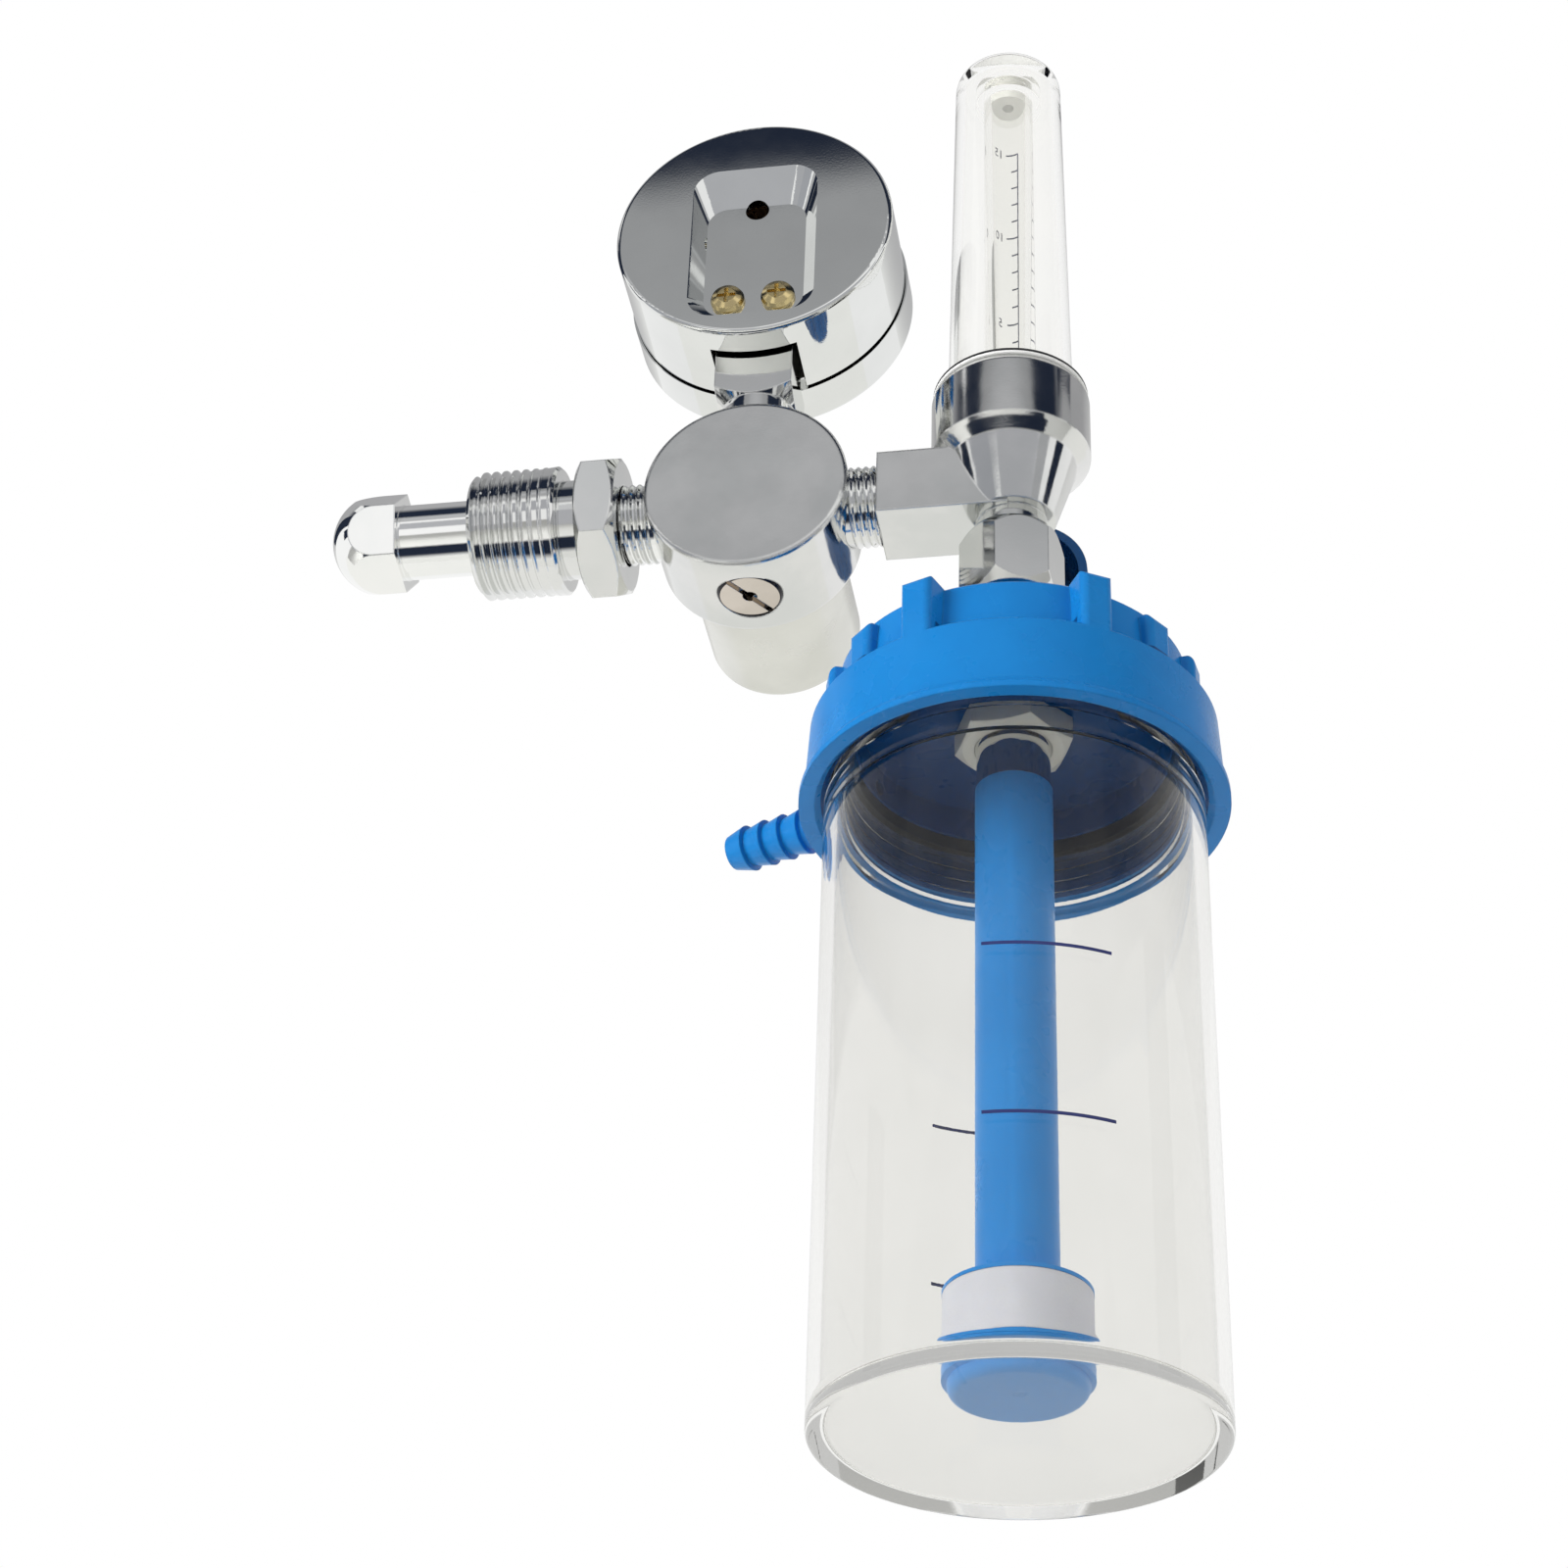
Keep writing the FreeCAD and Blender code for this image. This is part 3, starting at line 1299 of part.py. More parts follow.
def needleSpindle():
    tip = -mm.needleReach
    shaft = turned("needleShaft", [
        (zero, tip),
        (mm.needleTip, tip),
        (mm.needleRadius, tip + mm.needleTaper),
        (mm.needleRadius, mm.needleEnd),
        (zero, mm.needleEnd),
    ], "Y", mm.flowOffset)
    hole = rod("spindleHole", mm.knobScrewShank, mm.knobScrewLength, "Y", mm.flowOffset,
               mm.needleEnd - mm.knobScrewLength)
    return node("needle_spindle", cut("needleSpindle", shaft, hole))


knobFront = mm.knobBack + mm.knobLength


def flowKnob():
    bore = mm.needleRadius + mm.fitGap
    faceBack = knobFront - mm.knobFace
    inner = mm.knobRadius - mm.knobWall
    screwSeatLevel = mm.needleEnd + mm.fitGap
    body = turned("knobBody", [
        (bore, mm.knobBack + mm.restGap * 5.0),
        (mm.knobHub, mm.knobBack + mm.restGap * 5.0),
        (mm.knobHub, faceBack),
        (inner, faceBack),
        (inner, mm.knobBack),
        (mm.knobRadius, mm.knobBack),
        (mm.knobRadius, knobFront - mm.knobWall),
        (mm.knobRadius - mm.knobWall, knobFront),
        (mm.knobScrewHead + mm.runGap, knobFront),
        (mm.knobScrewHead + mm.runGap, screwSeatLevel + mm.knobFace / 4.0),
        (mm.knobScrewShank + mm.runGap, screwSeatLevel + mm.knobFace / 4.0),
        (mm.knobScrewShank + mm.runGap, screwSeatLevel),
        (bore, screwSeatLevel),
    ], "Y", mm.flowOffset)
    flutes = []
    count = int(sizes["knobFlutes"])
    for number in range(count):
        angle = math.radians(full * number / count)
        away = mm.knobRadius + mm.knobFlute * 0.45
        across = mm.flowOffset + away * math.cos(angle)
        up = away * math.sin(angle)
        flutes.append(rod("knobFluteTool", mm.knobFlute, mm.knobLength, "Y", across,
                          mm.knobBack + mm.knobLength * 0.3, up))
    return node("flow_knob", cut("flowKnob", body, *flutes))


def knobScrew():
    seat = mm.needleEnd + mm.fitGap * 2.0 + mm.knobFace / 4.0
    shank = mm.knobScrewShank - mm.fitGap
    body = turned("knobScrewBody", [
        (zero, mm.needleEnd - mm.knobScrewLength + mm.restGap),
        (shank, mm.needleEnd - mm.knobScrewLength + mm.restGap),
        (shank, seat),
        (mm.knobScrewHead, seat),
        (mm.knobScrewHead, seat + mm.knobFace * 0.4),
        (mm.knobScrewHead * 0.7, seat + mm.knobFace * 0.6),
        (zero, seat + mm.knobFace * 0.6),
    ], "Y", mm.flowOffset)
    slotWidth = mm.knobScrewShank * 0.7
    slot = block("knobScrewSlot", mm.knobScrewHead * 2.2, mm.knobFace * 0.4, slotWidth,
                 mm.flowOffset - mm.knobScrewHead * 1.1, seat + mm.knobFace * 0.36, -slotWidth / 2.0)
    return node("knob_screw", cut("knobScrew", body, slot))


# Flow tubes: tapered outer cover, inner measuring tube with its float ball
def coverTube():
    foot = cupFloor + mm.fitGap
    top = mm.coverTop
    seat = mm.cupTop
    inner = mm.coverFoot - mm.coverWall
    innerTip = mm.coverTip - mm.coverWall
    roof = top - mm.coverRoof
    tubeSeat = mm.tubeRadius + mm.runGap
    body = turned("coverTube", [
        (inner, foot),
        (cupBore - mm.fitGap, foot),
        (cupBore - mm.fitGap, seat - mm.restGap),
        (mm.coverFoot, seat),
        (mm.coverTip, top),
        (zero, top),
        (zero, roof),
        (tubeSeat, roof),
        (tubeSeat, roof - mm.coverSocket),
        (tubeSeat + mm.coverWall, roof - mm.coverSocket),
        (tubeSeat + mm.coverWall, roof),
        (innerTip, roof),
        (inner, seat),
    ], "Z", mm.flowOffset)
    roundCorners(body, "coverDome", mm.coverRound, mm.coverTip, top)
    return node("cover_tube", body)


tubeTop = mm.coverTop - mm.coverRoof - mm.fitGap * 4.0
tubeFoot = sealFoot + mm.fitGap


def meteringTube():
    boreStart = mm.ballRest - mm.ballRadius - mm.restGap
    body = turned("meteringTube", [
        (mm.flowBore, tubeFoot),
        (mm.tubeRadius, tubeFoot),
        (mm.tubeRadius, tubeTop),
        (mm.tubeBoreTop, tubeTop),
        (mm.tubeBoreFoot, boreStart),
        (mm.flowBore, boreStart),
    ], "Z", mm.flowOffset)
    return node("metering_tube", body)


def tubeSeal():
    body = turned("tubeSeal", [
        (mm.tubeRadius + mm.fitGap, sealFoot + mm.fitGap),
        (mm.seatBore - mm.fitGap, sealFoot + mm.fitGap),
        (mm.seatBore - mm.fitGap, sealFoot + mm.sealLength),
        (mm.tubeRadius + mm.fitGap, sealFoot + mm.sealLength),
    ], "Z", mm.flowOffset)
    return node("tube_seal", body)


def floatBall():
    ball = doc.addObject("Part::Sphere", "floatBall")
    bind(ball, Radius=mm.ballRadius)
    lay(ball, "Z", mm.flowOffset, zero, mm.ballRest)
    return node("float_ball", ball)


def tubeStop():
    # slotted plug in the top of the measuring tube that keeps the ball in
    radius = mm.tubeBoreTop - mm.fitGap
    start = tubeTop - mm.stopLength
    taper = (mm.tubeBoreTop - mm.tubeBoreFoot) * 0.06
    body = turned("tubeStop", [
        (mm.flowBore * 0.6, start),
        (radius - taper, start),
        (radius, tubeTop),
        (mm.flowBore * 0.6, tubeTop),
    ], "Z", mm.flowOffset)
    return node("tube_stop", body)


# Union nut and the stem that carries the humidifier
unionFoot = -(mm.unionTop + mm.unionLength)
headTop = spigotFoot - mm.fitGap
headFoot = unionFoot + mm.unionLip + mm.fitGap
roofTop = mm.capRoofUnder + mm.capRoof - mm.capLevel
roofUnder = mm.capRoofUnder - mm.capLevel
stemEnd = mm.dipTop - mm.capLevel
lockFoot = roofUnder - mm.fitGap - mm.lockLength


def unionNut():
    bore = mm.spigotRadius + mm.fitGap
    throat = mm.stemShank + mm.runGap
    top = -mm.unionTop
    lip = unionFoot + mm.unionLip
    body = turned("unionNut", [
        (throat, unionFoot),
        (mm.unionFlats * 0.45, unionFoot),
        (mm.unionFlats * 0.45, top),
        (bore, top),
        (bore, lip),
        (throat, lip),
    ], "Z", mm.flowOffset, spin=angles["unionHex"])
    hexPad(body, "unionHex", mm.unionFlats, unionFoot, mm.unionLength, mm.unionFlats * 0.44)
    hexChamfer(body, "unionChamferTop", mm.unionFlats, top, mm.unionChamfer)
    hexChamfer(body, "unionChamferFoot", mm.unionFlats, unionFoot, -mm.unionChamfer)
    return node("union_nut", body)


def humidifierStem():
    head = mm.spigotRadius - mm.fitGap
    body = turned("humidifierStem", [
        (mm.stemBore, headTop),
        (mm.stemBore, stemEnd - mm.tailLength),
        (mm.tailRadius, stemEnd - mm.tailLength),
        (mm.tailRadius, stemEnd),
        (mm.socketOuter, stemEnd),
        (mm.socketOuter, lockFoot - mm.threadDepth),
        (mm.stemThread, lockFoot),
        (mm.stemThread, roofTop),
        (mm.stemCollar, roofTop),
        (mm.stemCollar, roofTop + mm.stemCollarLength),
        (mm.stemShank * 1.3, roofTop + mm.stemCollarLength * 1.8),
        (mm.stemShank, roofTop + mm.stemCollarLength * 2.6),
        (mm.stemShank, headFoot),
        (head, headFoot),
        (head, headTop),
    ], "Z", mm.flowOffset)
    return node("humidifier_stem", body)


def lockNut():
    bore = mm.stemThread + mm.fitGap
    body = newBody("lockNut", "Z", mm.flowOffset, zero, zero, angles["lockHex"])
    hexPad(body, "lockHex", mm.lockFlats, lockFoot, mm.lockLength, bore)
    chamfer = mm.lockFlats * (hexCorner - hexRound) * math.tan(math.radians(angles["lockChamfer"]))
    hexChamfer(body, "lockChamfer", mm.lockFlats, lockFoot, -chamfer)
    return node("cap_locknut", body)


# Cap: threaded skirt, crown with grip ribs, roof with the outlet barb
capFoot = -mm.capLevel
threadBore = mm.bottleNeck + mm.restGap / 2.0


def capPiece():
    foot = capFoot
    skirtTop = capFoot + mm.capSkirt
    crownTop = capFoot + mm.capCrownTop
    ledgeLevel = capFoot + mm.capLedge
    body = turned("capBody", [
        (mm.stemThread + mm.runGap, roofUnder),
        (mm.capThroat, roofUnder),
        (mm.capThroat, ledgeLevel),
        (threadBore, ledgeLevel),
        (threadBore, foot + mm.capLipHeight),
        (mm.capLipRadius - mm.capWall, foot),
        (mm.capLipRadius, foot),
        (mm.capLipRadius, foot + mm.capLipHeight / 2.0),
        (mm.capRadius, foot + mm.capLipHeight),
        (mm.capRadius - mm.threadDepth, skirtTop - mm.threadDepth),
        (mm.capRadius - mm.threadDepth * 2.0, skirtTop),
        (mm.capCrown, skirtTop),
        (mm.capCrown - mm.threadDepth, crownTop - mm.threadDepth),
        (mm.capCrown - mm.threadDepth * 2.0, crownTop),
        (mm.capCrown - mm.capCrownWall, crownTop),
        (mm.capCrown - mm.capCrownWall - mm.threadDepth, roofTop),
        (mm.stemThread + mm.runGap, roofTop),
    ], "Z", mm.flowOffset)
    ribs = []
    # one place round the crown is left without a rib
    count = int(sizes["ribCount"])
    for number in range(1, count):
        turn = sizes["ribGapTurn"] + full * number / count
        # the two ribs beside the gap are the tall ones
        tall = number in (1, count - 1)
        outer = mm.capRadius - mm.threadDepth if tall else mm.lowRibRadius
        top = mm.ribTop if tall else mm.lowRibTop
        ribs.append(capRib("capRib%d" % number, turn, skirtTop, outer, top))
    solid = fused("capSolid", body, outletBarb(), *ribs)
    return node("humidifier_cap", cut("humidifierCap", solid, *outletWay()))


def outletWay():
    # gas leaves the space above the gasket, drops inside the wall and goes out along the barb
    riserOut = threadBore + mm.passageRadius + mm.restGap * 2.0
    level = mm.passageLevel - mm.capLevel
    outer = doc.addObject("Part::Cylinder", "barbBoreTool")
    bind(outer, Radius=mm.barbBore, Height=mm.barbReach)
    placeBarb(outer, riserOut, mm.barbLevel - mm.capLevel)
    inner = doc.addObject("Part::Cylinder", "capPortTool")
    bind(inner, Radius=mm.passageRadius, Height=riserOut - mm.capThroat + mm.restGap * 2.0)
    placeBarb(inner, mm.capThroat - mm.restGap * 2.0, level)
    riser = doc.addObject("Part::Cylinder", "capRiserTool")
    bind(riser, Radius=mm.passageRadius, Height=mm.passageLevel - mm.barbLevel)
    placeBarb(riser, riserOut, mm.barbLevel - mm.capLevel)
    riser.Placement = FreeCAD.Placement(riser.Placement.Base, turns["Z"])
    return outer, inner, riser


def capRib(name, turn, skirtTop, outer, top):
    # a grip rib: a rounded upright block on the crown
    foot = skirtTop - mm.threadDepth * 2.0
    depth = outer - (mm.capCrown - mm.capCrownWall * 0.5)
    item = doc.addObject("Part::Box", name)
    bind(item, Length=depth, Width=mm.ribWidth, Height=top - mm.capLevel - foot)
    radians = math.radians(turn)
    inner = mm.capCrown - mm.capCrownWall * 0.5
    x = mm.flowOffset + inner * math.cos(radians) + mm.ribWidth * (math.sin(radians) / 2.0)
    y = inner * math.sin(radians) - mm.ribWidth * (math.cos(radians) / 2.0)
    spot = FreeCAD.Vector(x.value, y.value, foot.value)
    item.Placement = FreeCAD.Placement(spot, FreeCAD.Rotation(FreeCAD.Vector(0, 0, 1), turn))
    bind(item, **{"Placement.Base.x": x, "Placement.Base.y": y, "Placement.Base.z": foot})
    rounded = doc.addObject("Part::Fillet", name + "Round")
    rounded.Base = item
    doc.recompute()
    outside = outer.value
    middle = FreeCAD.Vector(mm.flowOffset.value, 0, 0)
    picked = []
    for number, edge in enumerate(item.Shape.Edges, 1):
        centre = edge.CenterOfMass
        high = centre.z > foot.value + near
        away = math.hypot(centre.x - middle.x, centre.y)
        if high and away > outside - mm.ribRound.value / 2:
            picked.append((number, mm.ribRound.value, mm.ribRound.value))
    rounded.Edges = picked
    return rounded


def barbTurn():
    flat = FreeCAD.Rotation(FreeCAD.Vector(0, 0, 1), sizes["barbTurn"])
    return flat.multiply(turns["X"])


def placeBarb(item, away, level):
    # out along the barb's direction by away, at one height
    item.Placement = FreeCAD.Placement(FreeCAD.Vector(), barbTurn())
    bind(item, **{
        "Placement.Base.x": Size(0.0, "%s + (%s) * cos(Sizes.barbTurn * 1 deg)" % (mm.flowOffset.text, away.text)),
        "Placement.Base.y": Size(0.0, "(%s) * sin(Sizes.barbTurn * 1 deg)" % away.text),
        "Placement.Base.z": level,
    })
    return item


def outletBarb():
    # hose barb: repeated crests that slope down towards the tip
    start = mm.capRadius - mm.capWall * 0.6
    points = [(zero, start), (mm.barbRoot, start)]
    count = int(sizes["barbCount"])
    first = mm.barbReach - mm.barbPitch * float(count)
    for number in range(count):
        crest = first + mm.barbPitch * float(number)
        points.append((mm.barbRoot, crest))
        points.append((mm.barbCrest, crest + mm.fitGap * 4.0))
    points.append((mm.barbTip, mm.barbReach))
    points.append((zero, mm.barbReach))
    body = turned("outletBarb", points)
    return placeBarb(body, zero, mm.barbLevel - mm.capLevel)


def capGasket():
    top = capFoot + mm.capLedge - mm.fitGap
    body = turned("capGasket", [
        (mm.gasketInner, top - mm.gasketThickness),
        (mm.gasketOuter, top - mm.gasketThickness),
        (mm.gasketOuter, top),
        (mm.gasketInner, top),
    ], "Z", mm.flowOffset)
    return node("cap_gasket", body)


# Bottle, dip tube and diffuser
def bottle():
    neckTop = capFoot + mm.bottleNeckTop
    shoulder = capFoot - mm.restGap
    foot = capFoot - mm.bottleHeight
    wall = mm.bottleRadius - mm.bottleWall
    neckInner = mm.bottleNeck - mm.bottleNeckWall
    neckOuter = mm.bottleNeck - mm.restGap / 2.0
    body = turned("bottle", [
        (neckInner, neckTop),
        (neckInner, shoulder),
        (wall, shoulder - mm.bottleShoulder),
        (wall, foot + mm.bottleFloor),
        (zero, foot + mm.bottleFloor),
        (zero, foot),
        (mm.bottleFoot, foot),
        (mm.bottleRadius, foot + mm.bottleFootHeight),
        (mm.bottleRadius, shoulder - mm.bottleShoulder),
        (neckOuter, shoulder),
        (neckOuter, neckTop),
    ], "Z", mm.flowOffset)
    return node("bottle", body)


def dipTube():
    shoulder = capFoot - mm.diffuserShoulder
    bore = mm.tailRadius + mm.fitGap
    body = turned("dipTube", [
        (bore, stemEnd - mm.fitGap),
        (mm.dipRadius, stemEnd - mm.fitGap),
        (mm.dipRadius, shoulder + mm.fitGap),
        (bore, shoulder + mm.fitGap),
    ], "Z", mm.flowOffset)
    return node("dip_tube", body)


def diffuserHead():
    # upper half of the diffuser: shoulder, spigot in the dip tube, core down the sleeve
    shoulder = capFoot - mm.diffuserShoulder
    sleeveTop = capFoot - mm.sleeveTop
    core = sleeveTop - mm.sleeveLength
    spigot = mm.tailRadius - mm.fitGap
    body = turned("diffuserHead", [
        (mm.stemBore, shoulder + mm.tailLength),
        (spigot, shoulder + mm.tailLength),
        (spigot, shoulder),
        (mm.dipRadius + mm.restGap * 3.0, shoulder),
        (mm.diffuserRadius, sleeveTop + mm.diffuserRim / 3.0),
        (mm.diffuserRadius, sleeveTop),
        (mm.diffuserCore, sleeveTop),
        (mm.diffuserCore, core),
        (mm.stemBore, core),
    ], "Z", mm.flowOffset)
    ways = []
    for turn in (0.0, 90.0):
        way = rod("gasWay", mm.stemBore * 0.6, mm.diffuserCore * 3.0, "X", z=(sleeveTop + core) / 2.0)
        radians = math.radians(turn)
        half = mm.diffuserCore * 1.5
        rotation = FreeCAD.Rotation(FreeCAD.Vector(0, 0, 1), turn).multiply(turns["X"])
        way.Placement = FreeCAD.Placement(FreeCAD.Vector(), rotation)
        bind(way, **{
            "Placement.Base.x": mm.flowOffset - half * math.cos(radians),
            "Placement.Base.y": half * -math.sin(radians),
            "Placement.Base.z": (sleeveTop + core) / 2.0,
        })
        ways.append(way)
    return node("diffuser_head", cut("diffuserHead", body, *ways))


def diffuserSleeve():
    top = capFoot - mm.sleeveTop - mm.fitGap
    body = turned("diffuserSleeve", [
        (mm.sleeveBore, top),
        (mm.diffuserRadius - mm.fitGap, top),
        (mm.diffuserRadius - mm.fitGap, top - mm.sleeveLength + mm.fitGap),
        (mm.sleeveBore, top - mm.sleeveLength + mm.fitGap),
    ], "Z", mm.flowOffset)
    return node("diffuser_sleeve", body)


def diffuserCap():
    top = capFoot - mm.sleeveTop - mm.sleeveLength - mm.fitGap
    foot = capFoot - mm.diffuserEnd
    rim = mm.diffuserRadius
    body = turned("diffuserCap", [
        (zero, top),
        (rim, top),
        (rim, top - mm.diffuserRim),
        (mm.diffuserCap, top - mm.diffuserRim - mm.restGap),
        (mm.diffuserCap, foot),
        (zero, foot),
    ], "Z", mm.flowOffset)
    roundCorners(body, "diffuserFootRound", mm.diffuserRound, mm.diffuserCap, foot)
    return node("diffuser_cap", body)


inletNipple()
inletFilter()
glandNut()
regulatorBody()
seatNozzle()
springGuide()
bonnet()
piston()
seatPad()
pistonRing()
mainSpring()
reliefPoppet()
reliefSpring()
reliefScrew()
gaugeCase()
gaugeSocket()
caseScrews()
gaugeBezel()
gaugeWindow()
gaugeSpacer()
gaugeDial()
bourdonTube()
tubeLink()
gaugeMovement()
sectorGear()
pointerArbor()
gaugePointer()
flowmeterBody()
needlePacking()
packingNut()
needleSpindle()
flowKnob()
knobScrew()
coverTube()
meteringTube()
tubeSeal()
floatBall()
tubeStop()
unionNut()
humidifierStem()
lockNut()
capPiece()
capGasket()
bottle()
dipTube()
diffuserHead()
diffuserSleeve()
diffuserCap()
doc.recompute()

for item in doc.Objects:
    if "Invalid" in item.State or "Error" in item.State:
        raise ValueError("%s did not build" % item.Label)
for label, item in nodes.items():
    shape = item.Shape
    if shape.isNull() or not shape.isValid() or shape.Volume <= 0:
        raise ValueError("%s has no good solid" % label)
    shape.exportStep("parts/%s.step" % label)
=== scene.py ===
import bpy
import math
from mathutils import Matrix, Vector


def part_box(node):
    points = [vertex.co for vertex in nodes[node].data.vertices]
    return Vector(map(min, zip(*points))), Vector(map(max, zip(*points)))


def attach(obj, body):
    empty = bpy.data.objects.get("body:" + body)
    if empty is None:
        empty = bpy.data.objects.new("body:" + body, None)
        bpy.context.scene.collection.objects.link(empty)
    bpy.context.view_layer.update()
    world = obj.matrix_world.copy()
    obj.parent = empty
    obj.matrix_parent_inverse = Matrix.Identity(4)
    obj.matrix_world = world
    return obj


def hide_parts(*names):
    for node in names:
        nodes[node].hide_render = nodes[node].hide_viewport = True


# Looks for the oxygen regulator: threads, printed scales, finishes, studio and camera
# Sizes of the pieces are millimetres and become metres where a piece is made; the studio's places are metres

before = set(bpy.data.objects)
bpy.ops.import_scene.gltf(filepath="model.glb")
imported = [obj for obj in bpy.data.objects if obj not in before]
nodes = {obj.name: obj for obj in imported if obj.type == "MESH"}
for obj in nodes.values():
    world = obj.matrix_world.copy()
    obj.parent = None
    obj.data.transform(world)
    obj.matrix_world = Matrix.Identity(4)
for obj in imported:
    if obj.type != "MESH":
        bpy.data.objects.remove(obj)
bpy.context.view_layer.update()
mm = 0.001
print("frame loaded:", len(nodes), "CAD nodes")

bodyX = 41.6        # axis of the regulator body and gauge, mm
flowX = 87.1        # axis of the flow tube and the bottle, mm

# Values that the shader groups and the materials share
shading = {"noiseRoughness": 0.55, "cloudFrom": 0.3, "cloudTo": 0.7, "tintScale": 70.0, "roughScale": 120.0,
           "grainShare": 0.15, "secondShade": 0.86, "bevelSamples": 4, "caughtDepth": 5.5, "caughtGrey": 0.62,
           "subsurfaceRadius": (0.4, 0.5, 0.7), "subsurfaceScale": 0.002}

# Distances at which equal points are merged, in metres
mergeAt = {"thread": 0.00002, "turn": 0.00001, "seam": 0.000002, "print": 0.000001}


# Shader groups, each built once and placed in the materials that use it
def newGroup(name, inputs, outputs):
    tree = bpy.data.node_groups.new(name, "ShaderNodeTree")
    for label, kind, value in inputs:
        socket = tree.interface.new_socket(label, in_out="INPUT", socket_type=kind)
        socket.default_value = value
    for label, kind in outputs:
        tree.interface.new_socket(label, in_out="OUTPUT", socket_type=kind)
    return tree, tree.nodes.new("NodeGroupInput"), tree.nodes.new("NodeGroupOutput")


def addNode(tree, kind, **settings):
    node = tree.nodes.new(kind)
    for name, value in settings.items():
        setattr(node, name, value)
    return node


def feed(tree, socket, value):
    # a plain number is set on the socket, an output is linked to it
    if isinstance(value, (int, float)):
        socket.default_value = value
    else:
        tree.links.new(value, socket)


def addMath(tree, operation, first, second=None):
    node = addNode(tree, "ShaderNodeMath", operation=operation)
    feed(tree, node.inputs[0], first)
    if second is not None:
        feed(tree, node.inputs[1], second)
    return node.outputs[0]


def noiseFrom(tree, place, scale, detail):
    noise = addNode(tree, "ShaderNodeTexNoise")
    noise.inputs["Detail"].default_value = detail
    noise.inputs["Roughness"].default_value = shading["noiseRoughness"]
    tree.links.new(scale, noise.inputs["Scale"])
    tree.links.new(place, noise.inputs["Vector"])
    return noise.outputs["Fac"]


def softRange(tree, value, low, high):
    spread = addNode(tree, "ShaderNodeMapRange", interpolation_type="SMOOTHSTEP")
    spread.inputs["From Min"].default_value = shading["cloudFrom"]
    spread.inputs["From Max"].default_value = shading["cloudTo"]
    tree.links.new(value, spread.inputs["Value"])
    feed(tree, spread.inputs["To Min"], low)
    feed(tree, spread.inputs["To Max"], high)
    return spread.outputs["Result"]


def objectPlace(tree):
    return addNode(tree, "ShaderNodeTexCoord").outputs["Object"]


def makeMottle():
    # slow cloudy change between two values, for roughness
    tree, inlet, outlet = newGroup("cloudyMottle", [
        ("Scale", "NodeSocketFloat", 60.0),
        ("Low", "NodeSocketFloat", 0.05),
        ("High", "NodeSocketFloat", 0.1),
    ], [("Value", "NodeSocketFloat")])
    cloud = noiseFrom(tree, objectPlace(tree), inlet.outputs["Scale"], 3.0)
    spread = softRange(tree, cloud, inlet.outputs["Low"], inlet.outputs["High"])
    tree.links.new(spread, outlet.inputs["Value"])
    return tree


def makeGrain():
    # height of a fine even grain over a slow waviness
    tree, inlet, outlet = newGroup("castGrain", [
        ("Wave Scale", "NodeSocketFloat", 90.0),
        ("Grain Scale", "NodeSocketFloat", 2500.0),
        ("Grain Share", "NodeSocketFloat", 0.2),
    ], [("Height", "NodeSocketFloat")])
    place = objectPlace(tree)
    wave = noiseFrom(tree, place, inlet.outputs["Wave Scale"], 1.0)
    grain = noiseFrom(tree, place, inlet.outputs["Grain Scale"], 2.0)
    fine = addMath(tree, "MULTIPLY", grain, inlet.outputs["Grain Share"])
    tree.links.new(addMath(tree, "ADD", wave, fine), outlet.inputs["Height"])
    return tree


def makeTint():
    # drifts a colour towards a second one in soft patches
    tree, inlet, outlet = newGroup("tintDrift", [
        ("Main", "NodeSocketColor", (0.8, 0.8, 0.8, 1)),
        ("Second", "NodeSocketColor", (0.7, 0.7, 0.7, 1)),
        ("Scale", "NodeSocketFloat", 80.0),
    ], [("Color", "NodeSocketColor")])
    cloud = noiseFrom(tree, objectPlace(tree), inlet.outputs["Scale"], 4.0)
    blend = addNode(tree, "ShaderNodeMix", data_type="RGBA")
    tree.links.new(softRange(tree, cloud, 0.0, 1.0), blend.inputs["Factor"])
    tree.links.new(inlet.outputs["Main"], blend.inputs["A"])
    tree.links.new(inlet.outputs["Second"], blend.inputs["B"])
    tree.links.new(blend.outputs["Result"], outlet.inputs["Color"])
    return tree


mottle = makeMottle()
castGrain = makeGrain()
tintDrift = makeTint()


def placeGroup(tree, group, **values):
    node = addNode(tree, "ShaderNodeGroup", node_tree=group)
    for label, value in values.items():
        node.inputs[label.replace("_", " ")].default_value = value
    return node


def addZone(tree, paintedShade, tint, shader):
    # painted shade round an upright axis: the colour is darkened where shade falls, on the lid's underside and in
    # the gap round the relief screw
    split = addNode(tree, "ShaderNodeSeparateXYZ")
    tree.links.new(objectPlace(tree), split.inputs[0])
    offset = addMath(tree, "ABSOLUTE", addMath(tree, "SUBTRACT", split.outputs["X"], paintedShade["axis"] * mm))
    across = addMath(tree, "POWER", offset, 2.0)
    along = addMath(tree, "POWER", addMath(tree, "ABSOLUTE", split.outputs["Y"]), 2.0)
    away = addMath(tree, "SQRT", addMath(tree, "ADD", across, along))
    within = addMath(tree, paintedShade["side"], away, paintedShade["radius"] * mm)
    under = addMath(tree, "LESS_THAN", split.outputs["Z"], paintedShade["level"] * mm)
    blend = addNode(tree, "ShaderNodeMix", data_type="RGBA")
    blend.inputs["B"].default_value = (*paintedShade["color"], 1)
    tree.links.new(addMath(tree, "MULTIPLY", within, under), blend.inputs["Factor"])
    tree.links.new(tint, blend.inputs["A"])
    tree.links.new(blend.outputs["Result"], shader.inputs["Base Color"])


